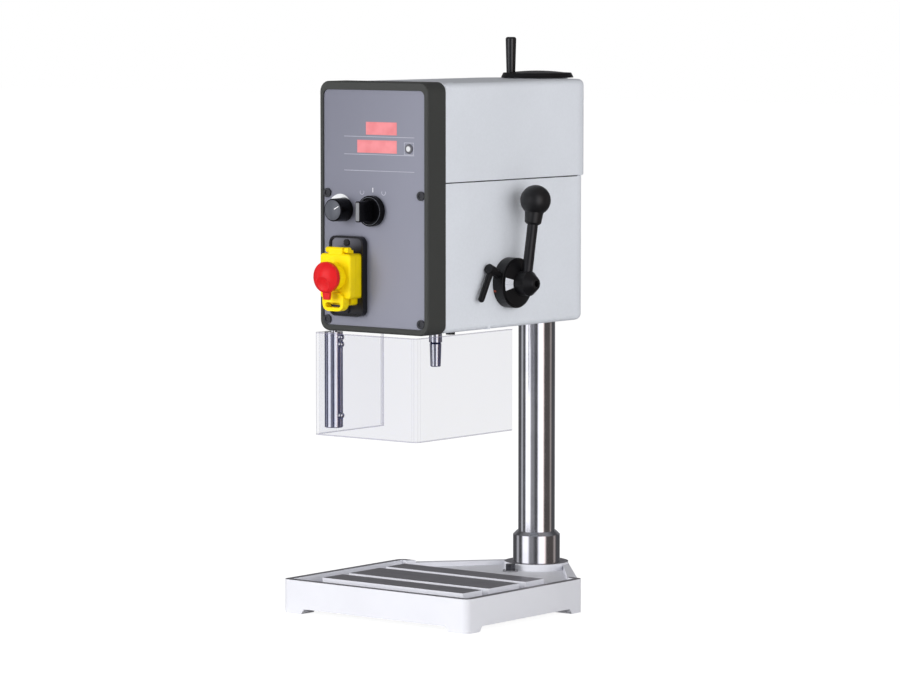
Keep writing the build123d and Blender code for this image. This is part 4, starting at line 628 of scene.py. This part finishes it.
# %% Rings into pieces
def join_rings(shape, rings):
    """Join rings of points, each to the next, and close the first and the last."""
    rows = [[shape.verts.new(point) for point in ring] for ring in rings]
    for row, after in zip(rows, rows[1:]):
        for index in range(len(row)):
            shape.faces.new((row[index - 1], row[index], after[index], after[index - 1]))
    shape.faces.new(rows[0])
    shape.faces.new(list(reversed(rows[-1])))


def add_piece(name, shape, body, material, smooth=False):
    """Turn a shape into a piece with its finish, which rides on a body."""
    bmesh.ops.recalc_face_normals(shape, faces=shape.faces)
    mesh = bpy.data.meshes.new(name)
    shape.to_mesh(mesh)
    shape.free()
    for polygon in mesh.polygons:
        polygon.use_smooth = smooth
    piece = bpy.data.objects.new(name, mesh)
    bpy.context.scene.collection.objects.link(piece)
    mesh.materials.append(material)
    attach(piece, body)
    return piece


print("piece helpers ready")

# %% Flat prints that face the operator
PANEL_FACE = PANEL_LOW.y
PRINT_HEIGHT = 0.12 * MM


def flat_prints(name, outlines, face, body, material):
    """Raise each outline, given as points across and up, from a face towards the operator."""
    shape = bmesh.new()
    for outline in outlines:
        join_rings(shape, [[(x, y, z) for x, z in outline] for y in (face - PRINT_HEIGHT, face)])
    return add_piece(name, shape, body, material)


def bar(left, right, low, high):
    return [(left, low), (right, low), (right, high), (left, high)]


def arc_band(centre, inner, outer, start, end, steps=24):
    """A band between two radii, of which the outer may be a function of the share along the arc."""
    points = []
    for radius, order in ((outer, range(steps + 1)), (inner, range(steps, -1, -1))):
        for step in order:
            share = step / steps
            angle = math.radians(start + (end - start) * share)
            length = radius(share) if callable(radius) else radius
            points.append((centre[0] + length * math.cos(angle), centre[1] + length * math.sin(angle)))
    return points


print("panel face at", round(PANEL_FACE, 4))

# %% Ruled lines and the key's square
RULE_LEFT = -50.0 * MM
RULE_RIGHT = 66.5 * MM
RULE_HEIGHTS = (632.0 * MM, 609.0 * MM, 588.0 * MM)
RULE_WIDTH = 0.7 * MM
KEY_SQUARE = 8.0 * MM
key_low, key_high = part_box("zero_key")
key_middle = (key_low + key_high) / 2

rules = [
    bar(RULE_LEFT, RULE_RIGHT, height - RULE_WIDTH / 2, height + RULE_WIDTH / 2)
    for height in RULE_HEIGHTS
]
left, right = key_middle.x - KEY_SQUARE, key_middle.x + KEY_SQUARE
low, high = key_middle.z - KEY_SQUARE, key_middle.z + KEY_SQUARE
rules += [
    bar(left, right, low, low + RULE_WIDTH),
    bar(left, right, high - RULE_WIDTH, high),
    bar(left, left + RULE_WIDTH, low + RULE_WIDTH, high - RULE_WIDTH),
    bar(right - RULE_WIDTH, right, low + RULE_WIDTH, high - RULE_WIDTH),
]
flat_prints("panel_rules", rules, PANEL_FACE, "head", grey_print)
print("rules", len(rules))

# %% Speed wedge
WEDGE_START = 60.0
WEDGE_END = 205.0
WEDGE_SWELL = 9.5 * MM
WEDGE_PEAK = 0.6
WEDGE_TIP = 0.4 * MM
WEDGE_GAP = 0.2 * MM
knob_low, knob_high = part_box("speed_knob")
knob_middle = (knob_low + knob_high) / 2
knob_centre = (knob_middle.x, knob_middle.z)
KNOB_RADIUS = (knob_high.x - knob_low.x) / 2


def wedge_edge(share):
    """The outer edge of the speed wedge, widest at its peak and almost nothing at its tips."""
    swell = share / WEDGE_PEAK if share < WEDGE_PEAK else (1 - share) / (1 - WEDGE_PEAK)
    return KNOB_RADIUS + WEDGE_TIP + WEDGE_SWELL * swell


wedge = arc_band(knob_centre, KNOB_RADIUS + WEDGE_GAP, wedge_edge, WEDGE_START, WEDGE_END)
print("wedge points", len(wedge))

# %% Marks round the selector, and a painted highlight on its bezel
TURN_RADIUS = 3.6 * MM
TURN_LINE = 0.8 * MM
TURN_ASIDE = 18.0 * MM
TURN_ABOVE = 24.0 * MM
TURN_START = 150.0
TURN_END = 390.0
TURN_STEPS = 16
MIDDLE_HALF = 0.6 * MM
MIDDLE_LOW = 4.0 * MM
MIDDLE_HIGH = 10.0 * MM
BEZEL_INNER = 17.6 * MM
BEZEL_OUTER = 18.2 * MM
BEZEL_BREAK = 1.0
mode_low, mode_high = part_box("mode_bezel")
mode_middle = (mode_low + mode_high) / 2
mode_centre = (mode_middle.x, mode_middle.z)
mode_top = mode_centre[1] + (mode_high.x - mode_low.x) / 2

middle_mark = bar(
    mode_centre[0] - MIDDLE_HALF, mode_centre[0] + MIDDLE_HALF,
    mode_top + MIDDLE_LOW, mode_top + MIDDLE_HIGH,
)
turn_arcs = [
    arc_band(
        (mode_centre[0] + side * TURN_ASIDE, mode_centre[1] + TURN_ABOVE),
        TURN_RADIUS - TURN_LINE, TURN_RADIUS, TURN_START, TURN_END, TURN_STEPS,
    )
    for side in (-1, 1)
]
# Painted highlight: a thin grey ring on the bezel's face stands for light caught by the edge of its
# inner disc.
bezel_highlight_arcs = [
    arc_band(mode_centre, BEZEL_INNER, BEZEL_OUTER, start + BEZEL_BREAK, start + 180.0 - BEZEL_BREAK)
    for start in (0.0, 180.0)
]
flat_prints("knob_marks", [wedge, middle_mark], PANEL_FACE, "head", white_print)
flat_prints("turn_marks", turn_arcs, PANEL_FACE, "head", grey_print)
flat_prints("bezel_painted_highlight", bezel_highlight_arcs, mode_low.y, "head", cap_grey)
print("knob marks", 2 + len(turn_arcs) + len(bezel_highlight_arcs))

# %% [markdown]
# ## Pointers on the knobs
# The speed knob has a white line on its face, so that the operator sees where it stands, and a pale
# grey face sits on the front of the selector's grip. They are flat prints too, but they ride on the
# knobs and turn with them.

# %% Pointers
POINTER_ANGLE = math.radians(27.0)
POINTER_START = 2.8 * MM
POINTER_END = 11.2 * MM
POINTER_WIDTH = 1.1 * MM
GRIP_WIDTH = 5.6 * MM
GRIP_LENGTH = 24.0 * MM
GRIP_CORNER = 1.6 * MM
grip_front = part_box("mode_knob")[0].y


def rounded_bar(centre, width, length, corner, steps=6):
    points = []
    for turn, (side, up) in enumerate(((1, 1), (-1, 1), (-1, -1), (1, -1))):
        for step in range(steps + 1):
            angle = math.radians(90 * (turn + step / steps))
            points.append((
                centre[0] + side * (width / 2 - corner) + corner * math.cos(angle),
                centre[1] + up * (length / 2 - corner) + corner * math.sin(angle),
            ))
    return points


along = Vector((math.cos(POINTER_ANGLE), math.sin(POINTER_ANGLE)))
aside = Vector((-along.y, along.x)) * POINTER_WIDTH / 2
near = Vector(knob_centre) + along * POINTER_START
far = Vector(knob_centre) + along * POINTER_END
pointer = [tuple(point) for point in (near - aside, far - aside, far + aside, near + aside)]
grip_edge = rounded_bar(mode_centre, GRIP_WIDTH, GRIP_LENGTH, GRIP_CORNER)
flat_prints("knob_pointer", [pointer], knob_low.y, "speed_control", white_print)
flat_prints("selector_face", [grip_edge], grip_front, "mode_control", grip_grey)
print("pointer length", round((far - near).length, 4))

# %% [markdown]
# ## Knob cap and the key's dome
# A grey cap closes the front of the speed knob, and the zero key has a white domed top. Both are turned
# shapes, so a profile of radius and rise is carried round an axis that points at the operator.

# %% Turned caps
CAP_RADIUS = 13.2 * MM
CAP_HEIGHT = 0.06 * MM
CAP_MIDDLE = 0.4 * MM
KEY_DOME_RADIUS = 3.6 * MM
KEY_DOME_RISE = 0.9 * MM
KEY_DOME_STEP = 12
RING_STEPS = 40


def turned_cap(name, centre, face, profile, body, material):
    shape = bmesh.new()
    turns = [2 * math.pi * step / RING_STEPS for step in range(RING_STEPS)]
    join_rings(shape, [
        [
            (centre[0] + radius * math.cos(turn), face - rise, centre[1] + radius * math.sin(turn))
            for turn in turns
        ]
        for radius, rise in profile
    ])
    return add_piece(name, shape, body, material, smooth=True)


cap_profile = [(CAP_RADIUS, 0.0), (CAP_RADIUS - CAP_HEIGHT, CAP_HEIGHT), (CAP_MIDDLE, CAP_HEIGHT)]
dome_profile = [
    (KEY_DOME_RADIUS * math.cos(math.radians(tilt)), KEY_DOME_RISE * math.sin(math.radians(tilt)))
    for tilt in range(0, 90, KEY_DOME_STEP)
]
turned_cap("knob_cap", knob_centre, knob_low.y, cap_profile, "speed_control", cap_grey)
turned_cap(
    "key_dome", (key_middle.x, key_middle.z), key_low.y, dome_profile, "zero", key_white
)
print("caps turned in", RING_STEPS, "steps")

# %% [markdown]
# ## Index on the depth ring
# A small red mark on the ring shows where the scale is read. It follows the ring's round side, so its
# corners are set by angle round the feed axis, some just inside the ring and some just outside it.

# %% Red index
RING_LOW, RING_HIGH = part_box("depth_housing")
RING_RADIUS = (RING_HIGH.z - RING_LOW.z) / 2
INDEX_ANGLE = 197.0
INDEX_SPREAD = 2.2
INDEX_STEPS = 4
INDEX_LEFT = RING_HIGH.x - 15.2 * MM
INDEX_RIGHT = RING_HIGH.x - 11.5 * MM
INDEX_INNER = RING_RADIUS - 0.15 * MM
INDEX_OUTER = RING_RADIUS + 0.15 * MM
INDEX_CORNERS = bar(INDEX_LEFT, INDEX_RIGHT, INDEX_INNER, INDEX_OUTER)

index_shape = bmesh.new()
index_rings = []
for step in range(INDEX_STEPS + 1):
    angle = math.radians(INDEX_ANGLE + INDEX_SPREAD * (2 * step / INDEX_STEPS - 1))
    index_rings.append([
        (x, FEED_MIDDLE.y + radius * math.cos(angle), FEED_MIDDLE.z + radius * math.sin(angle))
        for x, radius in INDEX_CORNERS
    ])
join_rings(index_shape, index_rings)
add_piece("depth_index", index_shape, "head", index_red)
print("index at", INDEX_ANGLE)

# %% [markdown]
# ## Painted shadow in the seam
# A dark strip stands for the shadow in the thin seam where the cover meets the casing. It is one strip
# on each side, with a rounded section that stands a tenth of a millimetre out of the joint.

# %% Seam shadow strip
COVER_LOW, COVER_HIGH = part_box("top_cover")
SEAM_HEIGHT = COVER_LOW.z - 0.2 * MM
SEAM_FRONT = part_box("front_frame")[1].y
SEAM_BACK = COVER_HIGH.y - 42.0 * MM
SHADE_STRIP_HALF = 0.55 * MM
SHADE_STRIP_PROUD = 0.12 * MM
SHADE_STRIP_SECTION = [
    (-SHADE_STRIP_PROUD, -SHADE_STRIP_HALF), (SHADE_STRIP_PROUD / 2, -SHADE_STRIP_HALF), (SHADE_STRIP_PROUD, -SHADE_STRIP_HALF / 2),
    (SHADE_STRIP_PROUD, SHADE_STRIP_HALF / 2), (SHADE_STRIP_PROUD / 2, SHADE_STRIP_HALF), (-SHADE_STRIP_PROUD, SHADE_STRIP_HALF),
]

# Painted shadow: a dark strip put in the seam, where there is only the seam's shade.
seam_shade_shape = bmesh.new()
for side in (-1, 1):
    join_rings(seam_shade_shape, [
        [(side * (COVER_HIGH.x + out), y, SEAM_HEIGHT + rise) for out, rise in SHADE_STRIP_SECTION]
        for y in (SEAM_FRONT, SEAM_BACK)
    ])
add_piece("seam_painted_shadow", seam_shade_shape, "head", belt_rubber)
print("painted_seam_shadow", round(SEAM_BACK - SEAM_FRONT, 4))

# %% [markdown]
# ## Camera
# The photograph was taken from the right front, a little above the middle of the machine, with a long
# lens. The camera stands where lines on the machine meet their places in the picture.

# %% Camera
CAMERA_PLACE = (3.4315, -4.3159, 0.8278)
CAMERA_AZIMUTH = 38.29
CAMERA_PITCH = 4.807
SENSOR_WIDTH = 36.0
LENS = 168.0
FAR_CLIP = 50.0
camera_data = bpy.data.cameras.new("photo_camera")
camera_data.sensor_width = SENSOR_WIDTH
camera_data.lens = LENS
camera_data.clip_end = FAR_CLIP
camera = bpy.data.objects.new("photo_camera", camera_data)
camera.location = CAMERA_PLACE
camera.rotation_euler = (math.radians(90 - CAMERA_PITCH), 0.0, math.radians(CAMERA_AZIMUTH))
bpy.context.scene.collection.objects.link(camera)
bpy.context.scene.camera = camera
bpy.context.scene.view_settings.view_transform = "Standard"
print("camera", CAMERA_PLACE)

# %% [markdown]
# ## Studio
# The background is white paper. Soft lamps light the machine, a strong one at the front and two
# weaker ones at its right, whose shadows of the lever fall apart and stay faint. The pale room fills the
# rest, less from overhead. Bright steel shows what stands round it, so a dark dome with pale windows,
# which only reflections see, gives the column its dark and light stripes.

# %% Floor
LOOK_RAYS = ("Is Camera Ray", "Is Glossy Ray", "Is Transmission Ray")
WHITE = (1, 1, 1, 1)
FLOOR_SIZE = 40.0
FLOOR_GAP = 0.2 * MM
PAPER_TONE = (0.80, 0.80, 0.80, 1)
SHADOW_TONE = (0.30, 0.30, 0.30, 1)
PAPER_GLOW = 0.92


def looking(finish):
    """1 for a ray that looks at the background, 0 for one that gathers light."""
    first, second, third = (finish.node("ShaderNodeLightPath", output=name) for name in LOOK_RAYS)
    return first.larger(second).larger(third)


bpy.ops.mesh.primitive_plane_add(size=FLOOR_SIZE, location=(0.0, 0.0, -FLOOR_GAP))
floor = bpy.context.object
floor.name = "studio_floor"
floor.visible_glossy = False
floor_paper = Finish("floor_paper")
paper = floor_paper.node("ShaderNodeBsdfDiffuse", sockets={"Color": PAPER_TONE})
shadow = floor_paper.node("ShaderNodeBsdfDiffuse", sockets={"Color": SHADOW_TONE})
glow = floor_paper.node("ShaderNodeEmission", sockets={"Color": WHITE, "Strength": PAPER_GLOW})
backdrop = floor_paper.node("ShaderNodeAddShader", sockets={0: shadow, 1: glow})
seen = floor_paper.node("ShaderNodeMixShader", sockets={0: looking(floor_paper), 1: paper, 2: backdrop})
floor_paper.show("Material Output", seen)
floor.data.materials.append(floor_paper.material)
print("floor", FLOOR_SIZE)

# %% World
AMBIENT = 0.39
HORIZON_LIGHT = 1.06
OVERHEAD_DROP = 0.36
OVERHEAD_BAND = (0.1, 0.9)
world = bpy.data.worlds.new("studio_world")
world.use_nodes = True
bpy.context.scene.world = world
sky = Finish("studio_world", world.node_tree)
upward = sky.split(sky.node("ShaderNodeTexCoord", output="Generated"))[2]
room_light = AMBIENT * (HORIZON_LIGHT - OVERHEAD_DROP * upward.rise(*OVERHEAD_BAND))
dim = sky.node("ShaderNodeBackground", sockets={"Color": WHITE, "Strength": room_light})
bright = sky.node("ShaderNodeBackground", sockets={"Color": WHITE, "Strength": 1.0})
both = sky.node("ShaderNodeMixShader", sockets={0: looking(sky), 1: dim, 2: bright})
sky.show("World Output", both)
print("ambient", AMBIENT)

# %% Dome of reflections
DOME_RADIUS = 9.0
DOME_SEGMENTS = 64
DOME_RINGS = 32
DOME_DARK = 0.10
CEILING_LIGHT = 0.22
CEILING_RISE = (5.5, 8.5)
WINDOW_FOOT = (-4.0, -2.2)
WINDOW_HEAD = (3.5, 6.5)
WINDOWS = (
    # direction in degrees, half width, soft edge, brightness
    (-109.0, 11.0, 13.0, 1.65),
    (-25.0, 12.0, 13.0, 1.65),
    (-78.0, 5.0, 16.0, 0.24),
    (-158.0, 4.0, 9.0, 0.50),
    (48.0, 3.0, 9.0, 0.34),
    (128.0, 20.0, 16.0, 0.14),
)
WARM_SIDE = (20.0, 30.0, 15.0)
COOL_TINT = (0.985, 0.98, 1.04, 1)
WARM_TINT = (1.10, 0.97, 0.93, 1)
HIDDEN_FROM = ("camera", "diffuse", "transmission", "shadow", "volume_scatter")


def dome_of_reflections():
    finish = Finish("dome_light")
    x, y, z = finish.split(finish.place())
    direction = y.maths("ARCTAN2", y, x) * math.degrees(1.0)
    level = z.rise(*WINDOW_FOOT) * (1 - z.rise(*WINDOW_HEAD))

    def near(middle, half, soft):
        return 1 - abs(direction - middle).rise(half, half + soft)

    light = DOME_DARK + CEILING_LIGHT * z.rise(*CEILING_RISE)
    for middle, half, soft, power in WINDOWS:
        light = light + power * level * near(middle, half, soft)
    tint = finish.between(near(*WARM_SIDE), COOL_TINT, WARM_TINT)
    glow = finish.node("ShaderNodeEmission", sockets={"Color": tint, "Strength": light})
    finish.show("Material Output", glow)
    return finish.material


bpy.ops.mesh.primitive_uv_sphere_add(segments=DOME_SEGMENTS, ring_count=DOME_RINGS, radius=DOME_RADIUS)
dome = bpy.context.object
dome.name = "reflection_dome"
dome.data.materials.append(dome_of_reflections())
for rays in HIDDEN_FROM:
    setattr(dome, "visible_" + rays, False)
print("dome windows", len(WINDOWS))

# %% Lamps
AIM = Vector((0.0, 0.05, 0.40))
LAMP_DISTANCE = 3.2
LAMPS = (
    # name, direction in degrees, height above the horizon, size, watts
    ("front_lamp", -112.0, 9.0, 1.8, 77.0),
    ("side_lamp", -22.0, 6.0, 2.0, 40.0),
    ("back_lamp", 14.0, 6.0, 2.0, 16.0),
)
for name, direction, height, size, watts in LAMPS:
    lamp_data = bpy.data.lights.new(name, "AREA")
    lamp_data.energy = watts
    lamp_data.size = size
    lamp = bpy.data.objects.new(name, lamp_data)
    flat = math.cos(math.radians(height))
    toward = Vector((
        flat * math.cos(math.radians(direction)),
        flat * math.sin(math.radians(direction)),
        math.sin(math.radians(height)),
    ))
    lamp.location = AIM + toward * LAMP_DISTANCE
    lamp.rotation_euler = toward.to_track_quat("Z", "Y").to_euler()
    lamp.visible_glossy = False
    bpy.context.scene.collection.objects.link(lamp)
print("lamps", len(LAMPS))
